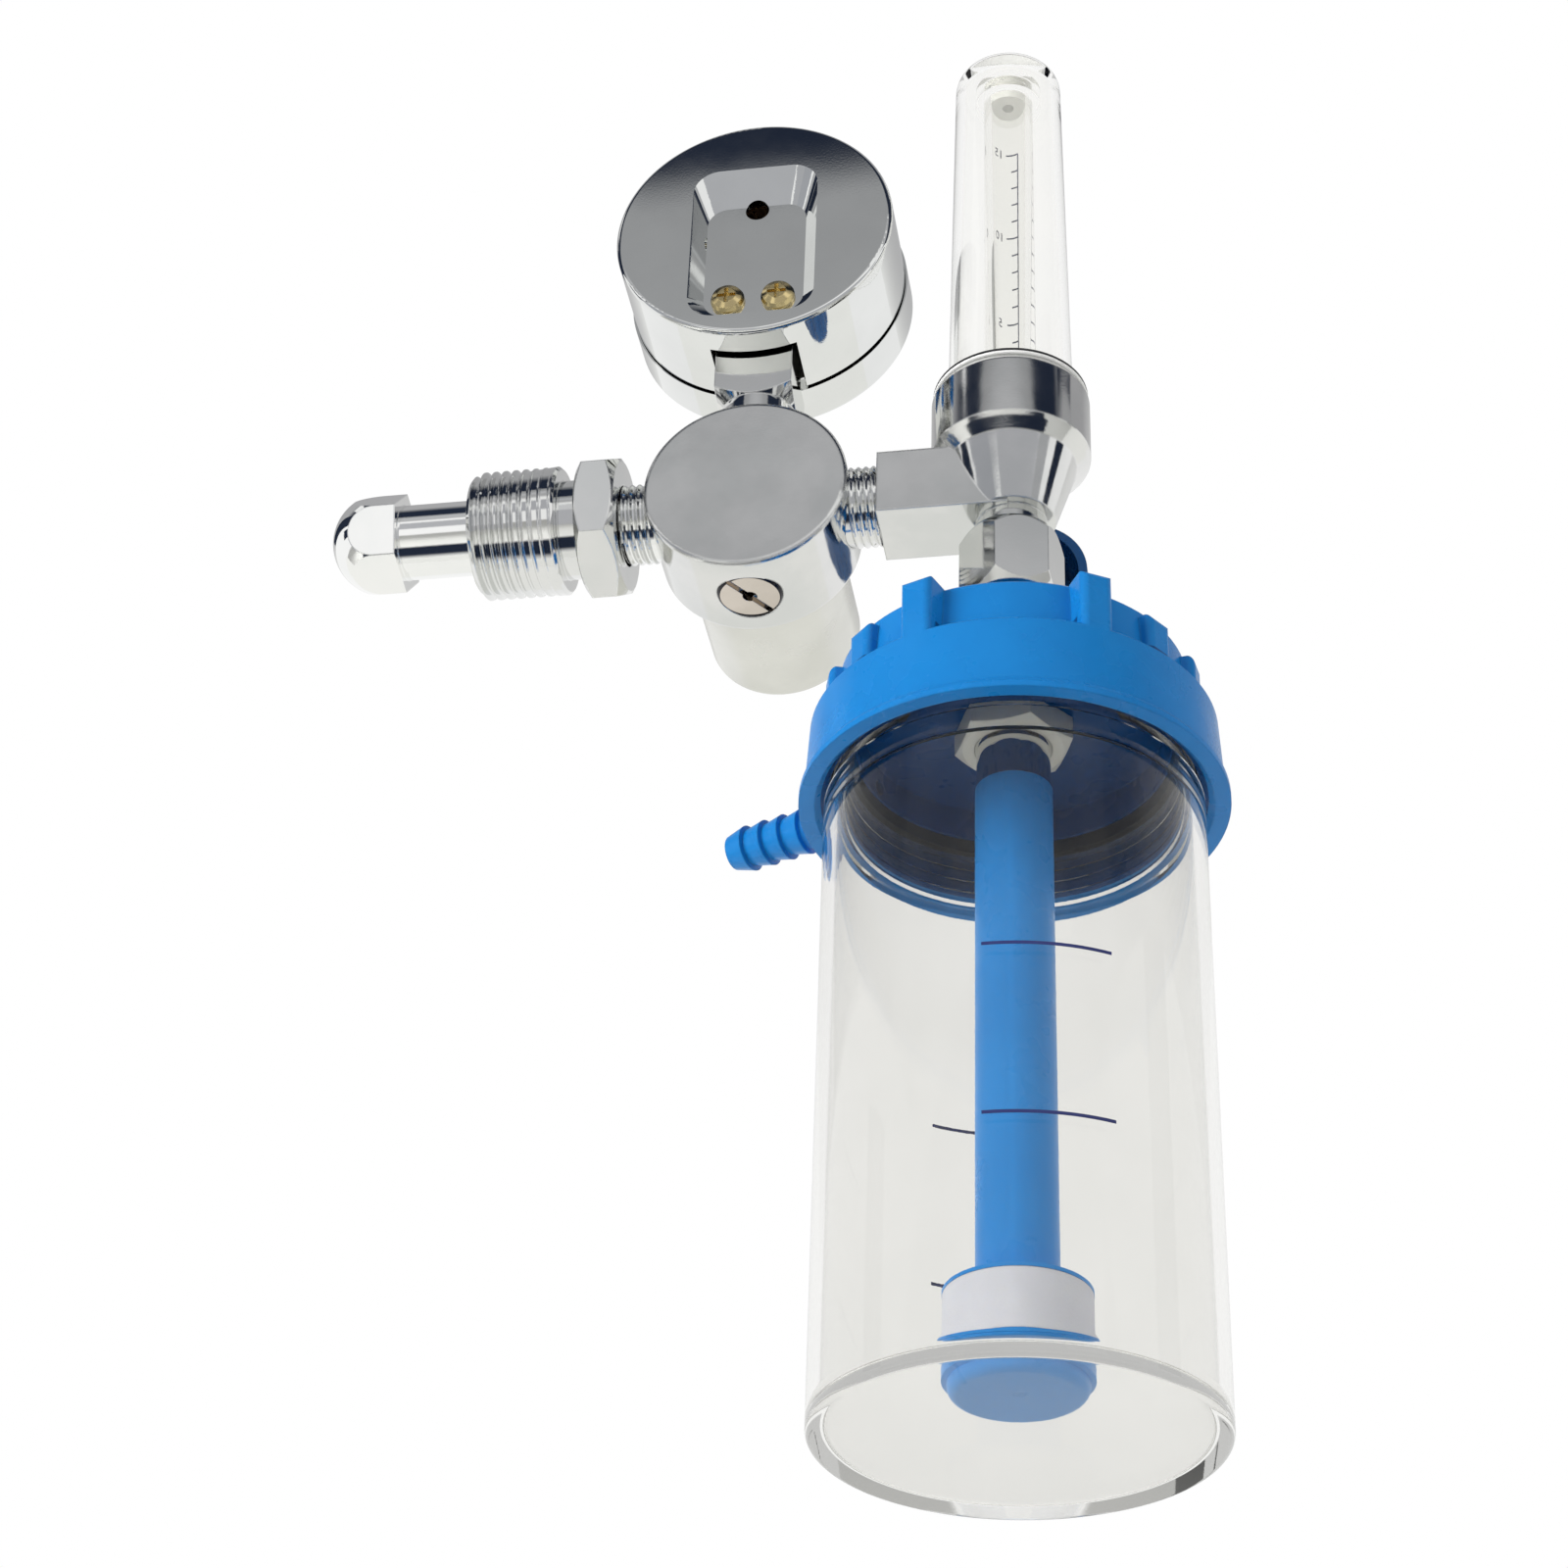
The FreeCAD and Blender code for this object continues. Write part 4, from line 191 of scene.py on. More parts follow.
def mixSurface(tree, factor, first, second, output):
    mix = addNode(tree, "ShaderNodeMixShader")
    tree.links.new(factor, mix.inputs["Fac"])
    tree.links.new(first, mix.inputs[1])
    tree.links.new(second, mix.inputs[2])
    tree.links.new(mix.outputs["Shader"], tree.nodes[output].inputs["Surface"])


def addClearShadow(tree, color, shader):
    # light passes the clear pieces instead of leaving a black shadow, and a ray caught in the wall is let out
    clear = addNode(tree, "ShaderNodeBsdfTransparent")
    clear.inputs["Color"].default_value = (*color, 1)
    path = addNode(tree, "ShaderNodeLightPath")
    caught = addMath(tree, "GREATER_THAN", path.outputs["Ray Depth"], shading["caughtDepth"])
    passing = addMath(tree, "MAXIMUM", path.outputs["Is Shadow Ray"], caught)
    mixSurface(tree, passing, shader.outputs["BSDF"], clear.outputs["BSDF"], "Material Output")


# One material: plain numbers go on the shader, groups vary colour, roughness and surface
def makeFinish(name, look):
    material = bpy.data.materials.new(name)
    material.use_nodes = True
    tree = material.node_tree
    shader = tree.nodes["Principled BSDF"]
    color = look["color"]
    second = look.get("second", [part * shading["secondShade"] for part in color])
    shader.inputs["Base Color"].default_value = (*color, 1)
    shader.inputs["Metallic"].default_value = look.get("metallic", 0.0)
    shader.inputs["IOR"].default_value = look.get("ior", 1.5)
    shader.inputs["Specular IOR Level"].default_value = look.get("specular", 0.5)
    shader.inputs["Transmission Weight"].default_value = look.get("transmission", 0.0)
    shader.inputs["Subsurface Weight"].default_value = look.get("subsurface", 0.0)
    shader.inputs["Subsurface Radius"].default_value = shading["subsurfaceRadius"]
    shader.inputs["Subsurface Scale"].default_value = shading["subsurfaceScale"]
    tint = placeGroup(tree, tintDrift, Main=(*color, 1), Second=(*second, 1), Scale=shading["tintScale"])
    tree.links.new(tint.outputs["Color"], shader.inputs["Base Color"])
    # painted shade: a darker colour is put where shade falls
    if look.get("paintedShade"):
        addZone(tree, look["paintedShade"], tint.outputs["Color"], shader)
    low, high = look["roughness"]
    rough = placeGroup(tree, mottle, Scale=shading["roughScale"], Low=low, High=high)
    tree.links.new(rough.outputs["Value"], shader.inputs["Roughness"])
    grain = placeGroup(tree, castGrain, Wave_Scale=look.get("waveScale", 90.0),
                       Grain_Scale=look.get("grainScale", 2500.0), Grain_Share=shading["grainShare"])
    bump = addNode(tree, "ShaderNodeBump")
    bump.inputs["Strength"].default_value = look.get("bump", 0.1)
    bump.inputs["Distance"].default_value = look.get("bumpDepth", 0.0002)
    tree.links.new(grain.outputs["Height"], bump.inputs["Height"])
    tree.links.new(bump.outputs["Normal"], shader.inputs["Normal"])
    if look.get("edge"):
        # a small round on the sharp CAD edges, so that they catch the light
        edge = addNode(tree, "ShaderNodeBevel", samples=shading["bevelSamples"])
        edge.inputs["Radius"].default_value = look["edge"] * mm
        tree.links.new(edge.outputs["Normal"], bump.inputs["Normal"])
    if look.get("clearShadow"):
        addClearShadow(tree, look["clearShadow"], shader)
    return material


finishes = {
    "brightChrome": {"color": (0.78, 0.78, 0.77), "second": (0.73, 0.74, 0.73), "metallic": 1.0,
                     "roughness": (0.03, 0.075), "bump": 0.05, "waveScale": 110.0, "edge": 0.35},
    # the inlet nipple's chrome is a lighter copy of brightChrome, a painted highlight on the nose and stem
    "noseHighlightChrome": {"color": (0.91, 0.91, 0.90), "second": (0.87, 0.88, 0.87), "metallic": 1.0,
                   "roughness": (0.03, 0.07), "bump": 0.05, "waveScale": 110.0, "edge": 0.35},
    "satinChrome": {"color": (0.72, 0.72, 0.68), "second": (0.66, 0.66, 0.62), "metallic": 1.0,
                    "roughness": (0.20, 0.28), "bump": 0.12, "waveScale": 260.0, "edge": 0.35},
    "sheetChrome": {"color": (0.78, 0.79, 0.78), "second": (0.74, 0.75, 0.74), "metallic": 1.0,
                    "roughness": (0.02, 0.05), "bump": 0.05, "waveScale": 60.0},
    "forgedChrome": {"color": (0.74, 0.74, 0.73), "second": (0.66, 0.67, 0.66), "metallic": 1.0,
                     "roughness": (0.05, 0.12), "bump": 0.12, "waveScale": 140.0, "edge": 0.5},
    # nickelScrew's painted shade: beyond r 5.2 the screw is painted near black, standing for the shade in the gap
    # round its head
    "nickelScrew": {"paintedShade": {"axis": bodyX, "side": "GREATER_THAN", "radius": 5.2, "level": 0.0,
                             "color": (0.04, 0.04, 0.045)},
                    "color": (0.66, 0.60, 0.54), "second": (0.55, 0.50, 0.44), "metallic": 1.0,
                    "roughness": (0.10, 0.22), "bump": 0.2, "waveScale": 400.0, "edge": 0.2},
    "yellowScrew": {"color": (0.74, 0.60, 0.30), "second": (0.62, 0.50, 0.27), "metallic": 1.0,
                    "roughness": (0.12, 0.24), "bump": 0.15, "waveScale": 500.0, "edge": 0.2},
    "turnedBrass": {"color": (0.72, 0.53, 0.24), "second": (0.62, 0.44, 0.20), "metallic": 1.0,
                    "roughness": (0.16, 0.28), "bump": 0.1, "waveScale": 300.0},
    "tubeBronze": {"color": (0.66, 0.40, 0.22), "second": (0.55, 0.33, 0.19), "metallic": 1.0,
                   "roughness": (0.2, 0.34), "bump": 0.12, "waveScale": 240.0},
    "sinteredBronze": {"color": (0.52, 0.35, 0.19), "second": (0.38, 0.26, 0.15), "metallic": 1.0,
                       "roughness": (0.45, 0.7), "bump": 0.9, "waveScale": 3200.0, "bumpDepth": 0.0003},
    "springSteel": {"color": (0.50, 0.50, 0.52), "second": (0.40, 0.40, 0.43), "metallic": 1.0,
                    "roughness": (0.2, 0.32), "bump": 0.1},
    "ballSteel": {"color": (0.62, 0.63, 0.64), "metallic": 1.0, "roughness": (0.04, 0.08), "bump": 0.02},
    # capBlue's painted shade: inside the lid, below z -48.5 and within r 31.5, the blue is painted dark navy as if
    # in shade
    "capBlue": {"paintedShade": {"axis": flowX, "side": "LESS_THAN", "radius": 31.5, "level": -48.5,
                         "color": (0.003, 0.060, 0.22)},
                "color": (0.008, 0.225, 0.62), "second": (0.007, 0.205, 0.58), "roughness": (0.24, 0.34),
                "specular": 0.22, "bump": 0.10, "waveScale": 160.0, "grainScale": 5000.0, "subsurface": 0.05,
                "edge": 0.5},
    "tubeBlue": {"color": (0.015, 0.27, 0.74), "second": (0.012, 0.25, 0.70), "roughness": (0.26, 0.36),
                 "specular": 0.3, "bump": 0.08, "waveScale": 120.0, "subsurface": 0.05},
    "knobBlue": {"color": (0.010, 0.10, 0.30), "second": (0.008, 0.085, 0.26), "roughness": (0.22, 0.34),
                 "bump": 0.12, "waveScale": 200.0, "edge": 0.4},
    "nutWhite": {"color": (0.78, 0.78, 0.74), "second": (0.72, 0.72, 0.69), "roughness": (0.32, 0.45),
                 "bump": 0.1, "subsurface": 0.15, "edge": 0.3},
    "sleeveWhite": {"color": (0.76, 0.77, 0.84), "second": (0.71, 0.72, 0.80), "roughness": (0.6, 0.75),
                    "bump": 0.35, "waveScale": 2200.0, "grainScale": 6000.0, "subsurface": 0.2, "edge": 0.4},
    "sealBlack": {"color": (0.018, 0.018, 0.02), "second": (0.03, 0.03, 0.032), "roughness": (0.45, 0.6),
                  "bump": 0.2, "waveScale": 500.0},
    "washerWhite": {"color": (0.95, 0.95, 0.94), "second": (0.92, 0.92, 0.91), "roughness": (0.3, 0.4),
                    "bump": 0.05},
    "sealWhite": {"color": (0.80, 0.80, 0.78), "roughness": (0.35, 0.5), "bump": 0.1},
    "bottleClear": {"color": (0.895, 0.892, 0.875), "second": (0.88, 0.878, 0.86), "roughness": (0.0, 0.02),
                    "ior": 1.28, "transmission": 1.0, "bump": 0.03, "waveScale": 45.0,
                    "clearShadow": (0.86, 0.86, 0.85)},
    "tubeClear": {"color": (0.975, 0.972, 0.96), "second": (0.965, 0.965, 0.955), "roughness": (0.0, 0.03),
                  "ior": 1.24, "transmission": 1.0, "bump": 0.03, "waveScale": 60.0,
                  "clearShadow": (0.96, 0.96, 0.95)},
    "windowClear": {"color": (0.99, 0.99, 0.99), "second": (0.985, 0.985, 0.985), "roughness": (0.0, 0.01),
                    "ior": 1.45, "transmission": 1.0, "bump": 0.01, "clearShadow": (0.97, 0.97, 0.97)},
    "dialWhite": {"color": (0.84, 0.84, 0.82), "second": (0.81, 0.81, 0.79), "roughness": (0.35, 0.45),
                  "bump": 0.04},
    "dialBlack": {"color": (0.012, 0.012, 0.013), "roughness": (0.4, 0.5), "bump": 0.02},
    "dialRed": {"color": (0.55, 0.02, 0.015), "roughness": (0.4, 0.5), "bump": 0.02},
    "printGrey": {"color": (0.10, 0.11, 0.17), "roughness": (0.4, 0.5), "bump": 0.02},
    "printBlue": {"color": (0.02, 0.03, 0.16), "roughness": (0.35, 0.45), "bump": 0.02},
}
finish = {name: makeFinish(name, look) for name, look in finishes.items()}

nodeFinish = {
    "inlet_nipple": "noseHighlightChrome", "inlet_filter": "sinteredBronze", "gland_nut": "brightChrome",
    "regulator_body": "forgedChrome", "seat_nozzle": "turnedBrass", "spring_guide": "turnedBrass",
    "bonnet": "satinChrome", "piston": "turnedBrass", "seat_pad": "sealWhite", "piston_ring": "sealBlack",
    "main_spring": "springSteel", "relief_poppet": "turnedBrass", "relief_spring": "springSteel",
    "relief_screw": "nickelScrew", "gauge_case": "sheetChrome", "gauge_socket": "brightChrome",
    "case_screws": "yellowScrew", "gauge_bezel": "sheetChrome", "gauge_window": "windowClear",
    "window_ring": "sealBlack", "gauge_dial": "dialWhite", "bourdon_tube": "tubeBronze",
    "tube_link": "turnedBrass", "gauge_movement": "turnedBrass", "sector_gear": "turnedBrass",
    "pointer_arbor": "springSteel",
    "gauge_pointer": "dialBlack", "flowmeter_body": "forgedChrome", "needle_packing": "sealWhite",
    "packing_nut": "brightChrome", "needle_spindle": "springSteel", "flow_knob": "knobBlue",
    "knob_screw": "brightChrome", "cover_tube": "tubeClear", "metering_tube": "tubeClear",
    "tube_seal": "sealWhite", "float_ball": "ballSteel", "tube_stop": "washerWhite", "union_nut": "brightChrome",
    "humidifier_stem": "brightChrome", "cap_locknut": "nutWhite", "humidifier_cap": "capBlue",
    "cap_gasket": "sealBlack", "bottle": "bottleClear", "dip_tube": "tubeBlue", "diffuser_head": "tubeBlue",
    "diffuser_sleeve": "sleeveWhite", "diffuser_cap": "tubeBlue",
}
for nodeName, item in nodes.items():
    item.data.materials.clear()
    item.data.materials.append(finish[nodeFinish[nodeName]])
print("finishes given to", len(nodeFinish), "nodes")


# Modelling helpers: everything is deselected first, so an operator acts on the new piece alone
def clearSelection():
    if bpy.context.object and bpy.context.object.mode != "OBJECT":
        bpy.ops.object.mode_set(mode="OBJECT")
    bpy.ops.object.select_all(action="DESELECT")


def startPoint(name):
    # a new piece of one vertex at the origin, left in edit mode
    clearSelection()
    bpy.ops.mesh.primitive_plane_add(size=mm)
    piece = bpy.context.object
    piece.name = name
    bpy.ops.object.mode_set(mode="EDIT")
    bpy.ops.mesh.merge(type="CENTER")
    return piece


def drawProfile(name, points):
    # a chain of edges through the points, drawn by extruding one vertex
    piece = startPoint(name)
    start = Vector(points[0]) * mm
    bpy.ops.transform.translate(value=start)
    for point in points[1:]:
        step = Vector(point) * mm - start
        bpy.ops.mesh.extrude_region_move(TRANSFORM_OT_translate={"value": step})
        start = Vector(point) * mm
    bpy.ops.object.mode_set(mode="OBJECT")
    return piece


def setPlace(piece):
    clearSelection()
    piece.select_set(True)
    bpy.context.view_layer.objects.active = piece
    bpy.ops.object.transform_apply(location=True, rotation=True, scale=True)


def turnProfile(name, points, centreX, steps=96):
    # a half section drawn on the XZ plane is turned round the upright axis through centreX
    piece = drawProfile(name, [(across, 0, level) for across, level in points])
    turn = piece.modifiers.new("turn", "SCREW")
    turn.axis = "Z"
    turn.steps = turn.render_steps = steps
    turn.use_merge_vertices = True
    turn.merge_threshold = mergeAt["turn"]
    applyModifiers(piece)
    bpy.ops.object.mode_set(mode="EDIT")
    bpy.ops.mesh.select_all(action="SELECT")
    bpy.ops.mesh.remove_doubles(threshold=mergeAt["seam"])
    bpy.ops.mesh.normals_make_consistent(inside=False)
    bpy.ops.transform.translate(value=(centreX * mm, 0, 0))
    bpy.ops.object.mode_set(mode="OBJECT")
    return piece


def roundOff(centre, radius, first, last, steps=6):
    # points of a quarter round in a section
    points = []
    for count in range(steps + 1):
        turn = math.radians(first + (last - first) * count / steps)
        points.append((centre[0] + radius * math.cos(turn), centre[1] + radius * math.sin(turn)))
    return points


def finishPiece(piece, body, look, angle=35.0):
    setPlace(piece)
    bpy.ops.object.shade_smooth_by_angle(angle=math.radians(angle))
    piece.data.materials.clear()
    piece.data.materials.append(finish[look])
    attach(piece, body)
    return piece


def applyModifiers(piece):
    clearSelection()
    piece.select_set(True)
    bpy.context.view_layer.objects.active = piece
    for modifier in list(piece.modifiers):
        bpy.ops.object.modifier_apply(modifier=modifier.name)


# Section of one ridge as shares of the pitch, and the turns of thread beyond its span that are cut off
ridge = {"rise": 0.12, "top": 0.46, "topEnd": 0.62, "fall": 0.96, "before": 1.5, "spare": 4}


def makeThread(name, thread):
    # one ridge is drawn along X, screwed round the X axis, then cut flat at both ends
    root, crest, pitch = thread["root"], thread["crest"], thread["pitch"]
    start, end = thread["start"], thread["end"]
    first = start - pitch * ridge["before"]
    piece = drawProfile(name, [
        (first, 0, root),
        (first + pitch * ridge["rise"], 0, root),
        (first + pitch * ridge["top"], 0, crest),
        (first + pitch * ridge["topEnd"], 0, crest),
        (first + pitch * ridge["fall"], 0, root),
        (first + pitch, 0, root),
    ])
    screw = piece.modifiers.new("screw", "SCREW")
    screw.axis = "X"
    screw.screw_offset = pitch * mm
    screw.iterations = int((end - start) / pitch) + ridge["spare"]
    screw.steps = screw.render_steps = thread["steps"]
    screw.use_merge_vertices = True
    screw.merge_threshold = mergeAt["thread"]
    applyModifiers(piece)
    bpy.ops.object.mode_set(mode="EDIT")
    for level, side in ((start, -1.0), (end, 1.0)):
        bpy.ops.mesh.select_all(action="SELECT")
        bpy.ops.mesh.bisect(plane_co=(level * mm, 0, 0), plane_no=(side, 0, 0),
                            use_fill=thread["closed"], clear_outer=True)
    bpy.ops.mesh.select_all(action="SELECT")
    bpy.ops.mesh.normals_make_consistent(inside=False)
    bpy.ops.object.mode_set(mode="OBJECT")
    return piece


# Gland nut: the CAD nut, its cylinder shrunk to the core under a real cut thread
glandNut = {"bore": 7.22, "core": 10.27, "coreReach": 0.02, "start": -7.9, "end": 7.3, "crest": 11.42,
            "root": 10.25, "pitch": 1.814, "leadIn": 1.0, "steps": 72, "closed": False}


def copyNode(nodeName, name):
    clearSelection()
    piece = nodes[nodeName].copy()
    piece.data = nodes[nodeName].data.copy()
    piece.name = name
    piece.parent = None
    for key in list(piece.keys()):
        del piece[key]
    bpy.context.scene.collection.objects.link(piece)
    piece.select_set(True)
    bpy.context.view_layer.objects.active = piece
    bpy.ops.object.mode_set(mode="EDIT")
    bpy.ops.mesh.select_all(action="SELECT")
    bpy.ops.mesh.customdata_custom_splitnormals_clear()
    bpy.ops.mesh.remove_doubles(threshold=mergeAt["seam"])
    bpy.ops.object.mode_set(mode="OBJECT")
    return piece


def joinPieces(main, *others):
    clearSelection()
    for piece in (main, *others):
        piece.select_set(True)
    bpy.context.view_layer.objects.active = main
    bpy.ops.object.join()
    return main


def makeGlandNut():
    hexPart = copyNode("gland_nut", "gland_nut_cut")
    bpy.ops.object.mode_set(mode="EDIT")
    bpy.ops.mesh.select_all(action="SELECT")
    bpy.ops.mesh.bisect(plane_co=(glandNut["end"] * mm, 0, 0), plane_no=(1, 0, 0))
    bpy.ops.object.mode_set(mode="OBJECT")
    # the cylinder shrinks to the thread's core, and the bore clears the tail thread when the nut is pushed back
    for vertex in hexPart.data.vertices:
        away = math.hypot(vertex.co.y, vertex.co.z) / mm
        wanted = max(away, glandNut["bore"])
        if vertex.co.x / mm < glandNut["end"] + glandNut["coreReach"]:
            wanted = min(wanted, glandNut["core"])
        vertex.co.y *= wanted / away
        vertex.co.z *= wanted / away
    thread = makeThread("glandThread", glandNut)
    # lead-in: the first ridges are drawn in towards the end face
    for vertex in thread.data.vertices:
        away = math.hypot(vertex.co.y, vertex.co.z)
        into = vertex.co.x / mm - glandNut["start"]
        limit = glandNut["crest"] - max(0.0, glandNut["leadIn"] - into)
        if away / mm > limit:
            vertex.co.y *= limit * mm / away
            vertex.co.z *= limit * mm / away
    joinPieces(hexPart, thread)
    finishPiece(hexPart, "gland_nut", "brightChrome", 25.0)
    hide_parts("gland_nut")


makeGlandNut()
print("gland nut threaded")

# Male threads that show between the pieces
portThread = {"crest": 7.15, "root": 6.78, "pitch": 1.337, "steps": 60, "closed": True}
portSpans = {"tail_thread": (18.8, 24.2), "stub_thread": (59.2, 64.2)}
for name, (start, end) in portSpans.items():
    finishPiece(makeThread(name, dict(portThread, start=start, end=end)), "regulator", "brightChrome", 25.0)
print("port threads cut")


# Bottle: the CAD's walls with rounded foot, stepped neck and the ridges that show through it
bottleShape = {"foot": -174.5, "radius": 30.97, "wall": 2.2, "floor": 3.2, "footRound": 1.2, "floorRound": 1.6,
               "lip": -66.2, "lipRise": 0.3, "neckTop": -57.85, "neckOuter": 30.0, "neckInner": 27.6,
               "ridges": (-64.6, -62.4, -60.2), "ridgeDepth": 0.75, "ridgeMouth": 0.9, "ridgeFloor": 0.3,
               "stepFoot": -69.8, "stepRise": 1.3, "steps": 128}


def makeBottle():
    shape = bottleShape
    foot, outer = shape["foot"], shape["radius"]
    inner = outer - shape["wall"]
    floorTop = foot + shape["floor"]
    neck = shape["neckOuter"]
    groove = neck - shape["ridgeDepth"]
    section = [(0, foot)]
    section += roundOff((outer - shape["footRound"], foot + shape["footRound"]), shape["footRound"], -90, 0)
    section += [(outer, shape["lip"]), (neck, shape["lip"] + shape["lipRise"])]
    for level in shape["ridges"]:
        section += [(neck, level - shape["ridgeMouth"]), (groove, level - shape["ridgeFloor"]),
                    (groove, level + shape["ridgeFloor"]), (neck, level + shape["ridgeMouth"])]
    section += [(neck, shape["neckTop"]), (shape["neckInner"], shape["neckTop"]),
                (shape["neckInner"], shape["stepFoot"] + shape["stepRise"]), (inner, shape["stepFoot"])]
    section += roundOff((inner - shape["floorRound"], floorTop + shape["floorRound"]), shape["floorRound"], 0, -90)
    section += [(0, floorTop)]
    turned = turnProfile("bottle_blown", section, flowX, shape["steps"])
    piece = finishPiece(turned, "bottle", "bottleClear", 40.0)
    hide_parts("bottle")


makeBottle()
print("bottle turned")

# Flow tube cover: tapered, with a smooth round at its closed top and the ring that holds the measuring tube
coverLow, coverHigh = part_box("cover_tube")
coverShape = {"foot": coverLow.z / mm, "spigot": 11.55, "seat": 21.1, "base": 11.1, "tip": 9.9, "wall": 1.5,
              "top": coverHigh.z / mm, "round": 3.0, "roof": 3.2, "innerRound": 1.4, "ring": 4.7, "ringDrop": 3.6,
              "seatRise": 0.3}


def makeCover():
    shape = coverShape
    roof = shape["top"] - shape["roof"]
    innerTip = shape["tip"] - shape["wall"]
    inner = shape["base"] - shape["wall"]
    ringFoot = roof - shape["ringDrop"]
    section = [(inner, shape["foot"]), (shape["spigot"], shape["foot"]),
               (shape["spigot"], shape["seat"] - shape["seatRise"]), (shape["base"], shape["seat"])]
    section += roundOff((shape["tip"] - shape["round"], shape["top"] - shape["round"]), shape["round"], 0, 90, 12)
    section += [(0, shape["top"]), (0, roof), (shape["ring"], roof), (shape["ring"], ringFoot),
                (shape["ring"] + shape["wall"], ringFoot), (shape["ring"] + shape["wall"], roof)]
    section += roundOff((innerTip - shape["innerRound"], roof - shape["innerRound"]),
                        shape["innerRound"], 90, 0, 8)
    section += [(inner, shape["seat"]), (inner, shape["foot"])]
    piece = finishPiece(turnProfile("cover_moulded", section, flowX), "regulator", "tubeClear", 50.0)
    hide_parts("cover_tube")


makeCover()

# Washers on the cup at the foot of the flow tube: a white one and a thin dark one above it
cupWashers = {
    "cup_white_washer": {"inner": 11.3, "outer": 13.75, "foot": 21.12, "thick": 0.60, "look": "washerWhite"},
    "cup_dark_washer": {"inner": 11.3, "outer": 13.72, "foot": 21.74, "thick": 0.50, "look": "sealBlack"},
}


def makeCupWashers():
    for name, washer in cupWashers.items():
        inner, outer, foot = washer["inner"], washer["outer"], washer["foot"]
        half = washer["thick"] / 2
        section = [(inner, foot)] + roundOff((outer - half, foot + half), half, -90, 90, 6)
        section += [(inner, foot + washer["thick"]), (inner, foot)]
        finishPiece(turnProfile(name, section, flowX), "regulator", washer["look"], 40.0)


makeCupWashers()

# Printed marks: an upright edge is spun along the surface and given a little thickness
printing = {"thick": 0.05, "figureThick": 0.03, "figureSteps": 3, "degreesPerStep": 3, "fewestSteps": 2}


def printedBand(name, centreX, radius, low, high, fromTurn, toTurn):
    middle = Vector((centreX, 0, 0)) * mm
    turn = math.radians(fromTurn)
    spot = middle + Vector((math.cos(turn), math.sin(turn), 0)) * radius * mm
    piece = startPoint(name)
    bpy.ops.transform.translate(value=(spot.x, spot.y, low * mm))
    bpy.ops.mesh.extrude_region_move(TRANSFORM_OT_translate={"value": (0, 0, (high - low) * mm)})
    bpy.ops.mesh.select_all(action="SELECT")
    steps = max(printing["fewestSteps"], int(abs(toTurn - fromTurn) / printing["degreesPerStep"]))
    bpy.ops.mesh.spin(steps=steps, angle=math.radians(fromTurn - toTurn), center=middle, axis=(0, 0, 1))
    bpy.ops.mesh.select_all(action="SELECT")
    bpy.ops.mesh.remove_doubles(threshold=mergeAt["print"])
    bpy.ops.mesh.normals_make_consistent(inside=False)
    bpy.ops.object.mode_set(mode="OBJECT")
    thick = piece.modifiers.new("thick", "SOLIDIFY")
    thick.thickness = printing["thick"] * mm
    thick.offset = 0.0
    applyModifiers(piece)
    return piece


def printedNumber(name, text, size, place, turn):
    # flat figures: made a mesh, turned with their matrix, then joined to the scale
    clearSelection()
    bpy.ops.object.text_add()
    piece = bpy.context.object
    piece.name = name
    piece.data.body = text
    piece.data.size = size * mm
    piece.data.align_x = "CENTER"
    piece.data.align_y = "CENTER"
    piece.data.extrude = printing["figureThick"] * mm
    piece.data.resolution_u = printing["figureSteps"]
    bpy.ops.object.convert(target="MESH")
    piece = bpy.context.object
    piece.data.transform(Matrix.Translation(Vector(place) * mm) @ turn)
    return piece


# Level lines on the bottle, two on each side
levelLines = {"levels": (-109.1, -137.1), "width": 0.55, "radius": 31.03,
              "sides": ((-93.5, -57.0), (86.5, 123.0))}


def makeLevelLines():
    half = levelLines["width"] / 2
    bands = []
    for level in levelLines["levels"]:
        for fromTurn, toTurn in levelLines["sides"]:
            bands.append(printedBand("level_lines", flowX, levelLines["radius"], level - half, level + half,
                                     fromTurn, toTurn))
    finishPiece(joinPieces(*bands), "bottle", "printBlue")


makeLevelLines()

# Flow scale on the far side of the measuring tube, litres a minute, read from +Y
flowScale = {"radius": 4.66, "zero": 20.8, "step": 4.3, "last": 15, "spine": 66.0, "tick": 22.0, "longTick": 38.0,
             "every": 5, "spineHalf": 2.2, "line": 0.34, "figure": 3.0, "figureTurn": 130.0}


def makeFlowScale():
    radius, line = flowScale["radius"], flowScale["line"]
    top = flowScale["zero"] + flowScale["step"] * flowScale["last"]
    spine = flowScale["spine"]
    marks = [printedBand("flow_scale", flowX, radius, flowScale["zero"] + flowScale["step"], top,
                         spine - flowScale["spineHalf"], spine + flowScale["spineHalf"])]
    for count in range(1, flowScale["last"] + 1):
        level = flowScale["zero"] + flowScale["step"] * count
        long = count % flowScale["every"] == 0
        reach = flowScale["longTick"] if long else flowScale["tick"]
        marks.append(printedBand("flowTick", flowX, radius, level - line / 2, level + line / 2,
                                 spine, spine + reach))
        if long:
            turn = math.radians(flowScale["figureTurn"])
            place = (flowX + radius * math.cos(turn), radius * math.sin(turn), level)
            upright = Matrix.Rotation(turn + math.pi / 2, 4, "Z") @ Matrix.Rotation(math.pi / 2, 4, "X")
            marks.append(printedNumber("flowFigure", str(count), flowScale["figure"], place, upright))
    finishPiece(joinPieces(*marks), "regulator", "printGrey")


makeFlowScale()

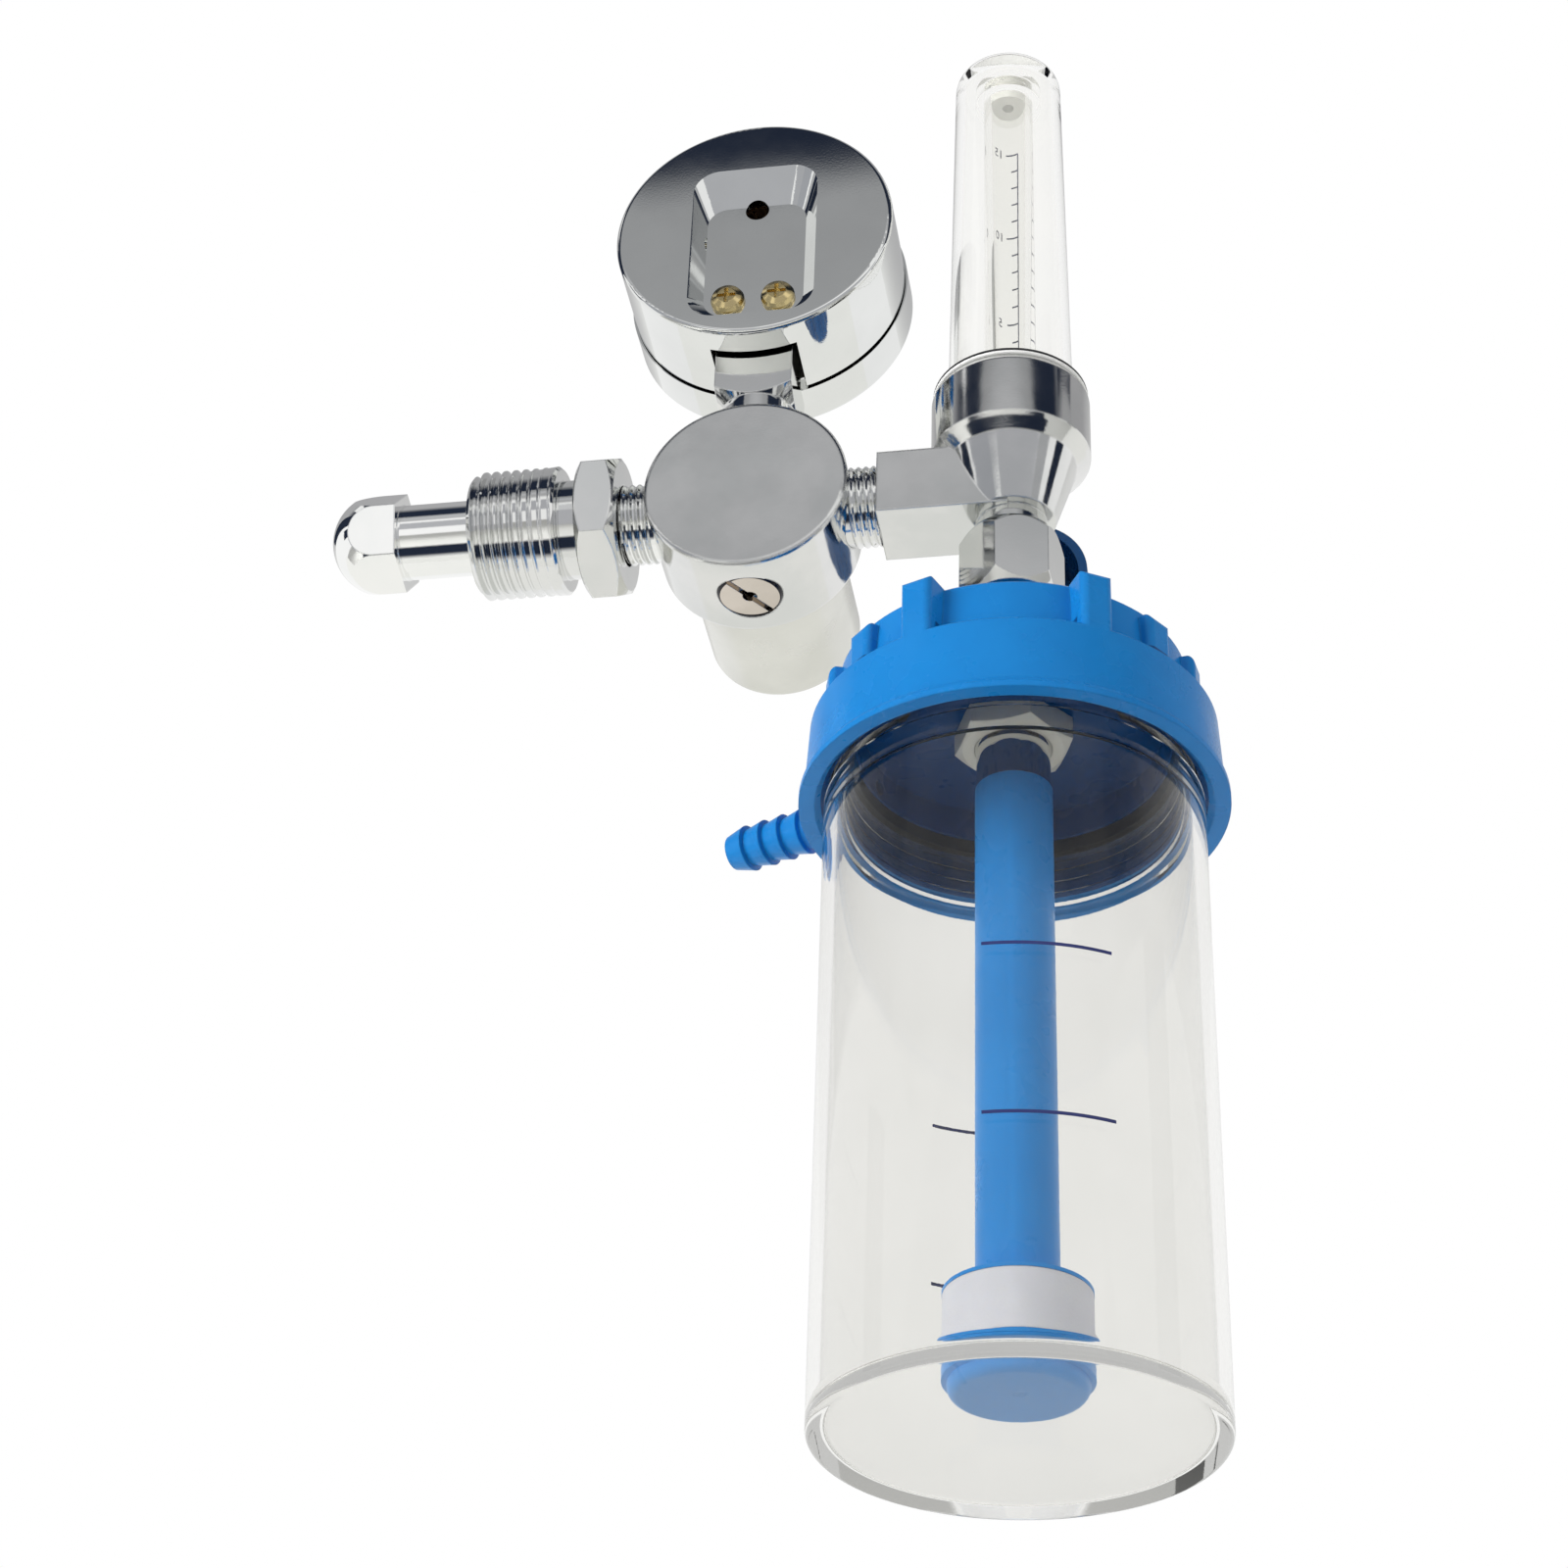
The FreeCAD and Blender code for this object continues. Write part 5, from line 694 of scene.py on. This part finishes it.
# Gauge dial: ticks, figures and a red top end, printed on the dial's face
dialPrint = {"face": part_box("gauge_dial")[1].y / mm, "centreZ": 57.2, "outer": 19.6, "tick": 1.5, "longTick": 2.8,
             "figureRadius": 14.4, "figure": 3.2, "sweep": 270.0, "divisions": 50, "every": 10,
             "width": 0.22, "longWidth": 0.42, "height": 0.06, "lift": 0.04, "figureValue": 2,
             "redFrom": 40, "redInner": 0.7, "redOuter": 0.1, "redWidth": 0.66, "redDrop": 0.02, "redParts": 3}


def dialTick(name, turn, inner, outer, width, level):
    # a bar drawn along the radius; turn counts clockwise from straight down, as the dial is read
    clearSelection()
    bpy.ops.mesh.primitive_cube_add(size=mm)
    piece = bpy.context.object
    piece.name = name
    piece.data.transform(Matrix.Diagonal((width, dialPrint["height"], outer - inner, 1)))
    piece.data.transform(Matrix.Translation((0, level * mm, -(inner + outer) / 2 * mm)))
    piece.data.transform(Matrix.Rotation(-math.radians(turn), 4, "Y"))
    piece.data.transform(Matrix.Translation((bodyX * mm, 0, dialPrint["centreZ"] * mm)))
    return piece


def makeDialPrint():
    black, red = [], []
    face = dialPrint["face"] + dialPrint["lift"]
    outer, sweep, divisions = dialPrint["outer"], dialPrint["sweep"], dialPrint["divisions"]
    first = (360.0 - sweep) / 2
    for count in range(divisions + 1):
        turn = first + sweep * count / divisions
        long = count % dialPrint["every"] == 0
        reach = dialPrint["longTick"] if long else dialPrint["tick"]
        width = dialPrint["longWidth"] if long else dialPrint["width"]
        black.append(dialTick("dial_marks", turn, outer - reach, outer, width, face))
        if long:
            radians = math.radians(turn)
            place = (bodyX + dialPrint["figureRadius"] * math.sin(radians), face,
                     dialPrint["centreZ"] - dialPrint["figureRadius"] * math.cos(radians))
            facing = Matrix.Rotation(math.pi, 4, "Z") @ Matrix.Rotation(math.pi / 2, 4, "X")
            figure = str(count // dialPrint["figureValue"])
            black.append(printedNumber("dialFigure", figure, dialPrint["figure"], place, facing))
        if dialPrint["redFrom"] <= count < divisions:
            for part in range(dialPrint["redParts"]):
                middle = turn + sweep / divisions * (part + 0.5) / dialPrint["redParts"]
                red.append(dialTick("dial_red_end", middle, outer - dialPrint["redInner"],
                                    outer - dialPrint["redOuter"], dialPrint["redWidth"],
                                    face - dialPrint["redDrop"]))
    finishPiece(joinPieces(*black), "regulator", "dialBlack")
    finishPiece(joinPieces(*red), "regulator", "dialRed")


makeDialPrint()
print("printed marks placed")

# Studio: a pale floor far below, soft lamps and cards that only mirror rays see; aim is the lamps', in millimetres
studio = {"floorLevel": -0.80, "floorSize": 6.0, "floorColor": (0.82, 0.82, 0.79), "floorRoughness": 0.8,
          "worldStrength": 0.48, "deepMirror": 0.35, "aim": (60, 0, -30)}


def makeFloor():
    clearSelection()
    bpy.ops.mesh.primitive_plane_add(size=studio["floorSize"], location=(0, 0, studio["floorLevel"]))
    floor = bpy.context.object
    floor.name = "studio_floor"
    material = bpy.data.materials.new("floorPaper")
    material.use_nodes = True
    shader = material.node_tree.nodes["Principled BSDF"]
    shader.inputs["Base Color"].default_value = (*studio["floorColor"], 1)
    shader.inputs["Roughness"].default_value = studio["floorRoughness"]
    floor.data.materials.append(material)


def newGlow(name):
    material = bpy.data.materials.new(name)
    material.use_nodes = True
    tree = material.node_tree
    tree.nodes.remove(tree.nodes["Principled BSDF"])
    return material, tree, addNode(tree, "ShaderNodeEmission")


def showGlow(tree, glow):
    # a ray caught in a clear wall sees plain grey instead of the card
    grey = shading["caughtGrey"]
    plain = addNode(tree, "ShaderNodeEmission")
    plain.inputs["Color"].default_value = (grey, grey, grey, 1)
    path = addNode(tree, "ShaderNodeLightPath")
    deep = addMath(tree, "GREATER_THAN", path.outputs["Ray Depth"], shading["caughtDepth"])
    mixSurface(tree, deep, glow.outputs["Emission"], plain.outputs["Emission"], "Material Output")


def mirrorsOnly(card):
    # a card is there for mirror rays and isn't seen, lit or shaded by otherwise
    card.visible_camera = False
    card.visible_diffuse = False
    card.visible_transmission = False
    card.visible_shadow = False


def cardMaterial(name, stops, low, high):
    # glow that changes along the card's Y, read from Object coordinates
    material, tree, glow = newGlow(name)
    split = addNode(tree, "ShaderNodeSeparateXYZ")
    tree.links.new(objectPlace(tree), split.inputs[0])
    spread = addNode(tree, "ShaderNodeMapRange")
    spread.inputs["From Min"].default_value = low
    spread.inputs["From Max"].default_value = high
    tree.links.new(split.outputs["Y"], spread.inputs["Value"])
    ramp = addNode(tree, "ShaderNodeValToRGB")
    elements = ramp.color_ramp.elements
    elements[0].position, elements[0].color = stops[0][0], (*stops[0][1], 1)
    elements[1].position, elements[1].color = stops[-1][0], (*stops[-1][1], 1)
    for position, color in stops[1:-1]:
        elements.new(position).color = (*color, 1)
    tree.links.new(spread.outputs["Result"], ramp.inputs["Fac"])
    tree.links.new(ramp.outputs["Color"], glow.inputs["Color"])
    showGlow(tree, glow)
    return material


def makeCard(name, settings):
    low, high = settings["low"], settings["high"]
    span = high - low
    clearSelection()
    bpy.ops.mesh.primitive_plane_add(size=1)
    card = bpy.context.object
    card.name = name
    card.data.transform(Matrix.Diagonal((settings["across"], span, 1, 1)))
    card.data.transform(Matrix.Translation((bodyX * mm, (low + high) / 2, settings["level"])))
    stops = [((place - low) / span, color) for place, color in settings["stops"]]
    card.data.materials.append(cardMaterial(name + "Glow", stops, low, high))
    mirrorsOnly(card)


# Cards above and below the part, in metres, with the colour at places along their Y
navy = (0.018, 0.025, 0.045)
cards = {
    "ceiling_card": {"level": 0.70, "across": 3.0, "low": -1.45, "high": 1.30, "stops": [
        (-1.45, (1.0, 1.0, 1.0)), (-1.24, (0.95, 0.95, 0.95)), (-1.14, (0.52, 0.52, 0.53)),
        (-0.99, (0.44, 0.44, 0.45)), (-0.92, (0.50, 0.505, 0.52)), (-0.84, (0.56, 0.565, 0.58)),
        (-0.76, (0.44, 0.445, 0.46)), (-0.735, (0.38, 0.385, 0.395)),
        (-0.652, (0.36, 0.365, 0.375)), (-0.632, navy), (-0.26, navy),
        (-0.05, (0.42, 0.42, 0.43)), (0.55, (0.40, 0.40, 0.41)), (1.30, (0.9, 0.9, 0.89))]},
    "floor_card": {"level": -0.60, "across": 1.2, "low": -0.50, "high": -0.03, "stops": [
        (-0.50, (0.85, 0.85, 0.84)), (-0.44, navy), (-0.14, navy), (-0.03, (0.85, 0.85, 0.84))]},
}
makeFloor()
for name, settings in cards.items():
    makeCard(name, settings)


# Patches of one colour, in metres: walls, a window and dark lines that the nose, cone and recess mirror
def makePatch(name, settings):
    clearSelection()
    bpy.ops.mesh.primitive_plane_add(size=1)
    patch = bpy.context.object
    patch.name = name
    patch.data.transform(Matrix.Diagonal((*settings["size"], 1, 1)))
    patch.data.transform(Matrix.Rotation(math.radians(settings["turn"]), 4, "X"))
    patch.data.transform(Matrix.Rotation(math.radians(settings.get("spin", 0.0)), 4, "Z"))
    patch.data.transform(Matrix.Translation(settings["place"]))
    material, tree, glow = newGlow(name + "Glow")
    glow.inputs["Color"].default_value = (*settings["color"], 1)
    showGlow(tree, glow)
    patch.data.materials.append(material)
    mirrorsOnly(patch)


patches = {
    "wall_card": {"place": (0.68, -1.25, -0.15), "size": (1.96, 0.80), "turn": 90.0,
                  "color": (0.50, 0.505, 0.53)},
    "left_wall_card": {"place": (-1.95, -1.25, 0.0), "size": (2.60, 1.10), "turn": 90.0,
                       "color": (0.42, 0.43, 0.46)},
    "window_top": {"place": (-0.475, -1.25, 0.33), "size": (0.35, 0.45), "turn": 90.0,
                   "color": (0.47, 0.475, 0.50)},
    "right_wall_card": {"place": (2.53, -1.25, 0.02), "size": (1.74, 1.15), "turn": 90.0,
                        "color": (0.46, 0.465, 0.48)},
    "right_line": {"place": (1.0, 0.0, 0.23), "size": (0.25, 0.34), "turn": 90.0, "spin": 90.0, "color": navy},
    "left_line": {"place": (-1.0, -0.27, 0.24), "size": (0.25, 0.26), "turn": 90.0, "spin": 90.0, "color": navy},
    "hex_card": {"place": (-0.21, -1.25, 0.43), "size": (0.17, 0.36), "turn": 90.0,
                 "color": (0.68, 0.685, 0.70)},
    "roof_shade": {"place": (-1.10, 0.25, 0.69), "size": (0.60, 1.00), "turn": 0.0, "color": navy},
    "far_floor_light": {"place": (0.0, 1.65, -0.62), "size": (6.0, 3.0), "turn": 0.0,
                        "color": (0.96, 0.96, 0.93)},
    "right_patch": {"place": (0.70, 0.0, 0.69), "size": (0.34, 0.34), "turn": 0.0, "color": navy},
    "left_patch": {"place": (-0.53, -0.25, 0.69), "size": (0.20, 0.22), "turn": 0.0,
                   "color": (0.92, 0.92, 0.92)},
}
for name, settings in patches.items():
    makePatch(name, settings)


def makeWorld():
    world = bpy.data.worlds.new("studioWorld")
    bpy.context.scene.world = world
    world.use_nodes = True
    tree = world.node_tree
    backdrop = tree.nodes["Background"]
    backdrop.inputs["Color"].default_value = (1, 1, 1, 1)
    backdrop.inputs["Strength"].default_value = 1.0
    ambient = addNode(tree, "ShaderNodeBackground")
    ambient.inputs["Color"].default_value = (1, 1, 1, 1)
    ambient.inputs["Strength"].default_value = studio["worldStrength"]
    path = addNode(tree, "ShaderNodeLightPath")
    shallow = addMath(tree, "LESS_THAN", path.outputs["Ray Depth"], shading["caughtDepth"])
    share = addMath(tree, "MAXIMUM", shallow, studio["deepMirror"])
    mirrored = addMath(tree, "MULTIPLY", path.outputs["Is Glossy Ray"], share)
    seen = addMath(tree, "MAXIMUM", path.outputs["Is Camera Ray"], mirrored)
    seen = addMath(tree, "MAXIMUM", seen, path.outputs["Is Transmission Ray"])
    mixSurface(tree, seen, ambient.outputs["Background"], backdrop.outputs["Background"], "World Output")


lamps = {
    "keyLamp": {"place": (-1.1, -0.9, 0.2), "size": 0.9, "power": 19.0},
    "fillLamp": {"place": (1.2, -0.6, 0.2), "size": 1.0, "power": 3.0},
    "topLamp": {"place": (0.1, 0.5, 1.3), "size": 1.0, "power": 7.0},
    "backLamp": {"place": (-0.3, 1.3, -0.1), "size": 1.0, "power": 6.0},
}


def makeLamps():
    for name, lamp in lamps.items():
        clearSelection()
        bpy.ops.object.light_add(type="AREA", location=lamp["place"])
        light = bpy.context.object
        light.name = name
        light.data.size = lamp["size"]
        light.data.energy = lamp["power"]
        aim = Vector(studio["aim"]) * mm - Vector(lamp["place"])
        light.rotation_euler = aim.to_track_quat("-Z", "Y").to_euler()
        light.visible_glossy = False        # polished metal and clear plastic show the cards, not the lamps
        light.visible_transmission = False


view = {"place": (0.13079, -0.43588, -0.35436), "rise": 33.81, "turn": 10.64, "roll": 2.27, "lens": 73.88,
        "sensor": 36.0, "near": 0.01}


def makeCamera():
    clearSelection()
    bpy.ops.object.camera_add()
    camera = bpy.context.object
    camera.data.sensor_width = view["sensor"]
    camera.data.lens = view["lens"]
    camera.data.clip_start = view["near"]
    turn = Matrix.Rotation(math.radians(view["turn"]), 4, "Z")
    rise = Matrix.Rotation(math.radians(90.0 + view["rise"]), 4, "X")
    roll = Matrix.Rotation(math.radians(view["roll"]), 4, "Z")
    camera.matrix_world = Matrix.Translation(view["place"]) @ turn @ rise @ roll
    bpy.context.scene.camera = camera


makeWorld()
makeLamps()
makeCamera()
bpy.context.scene.view_settings.view_transform = "Standard"
print("studio and camera set")
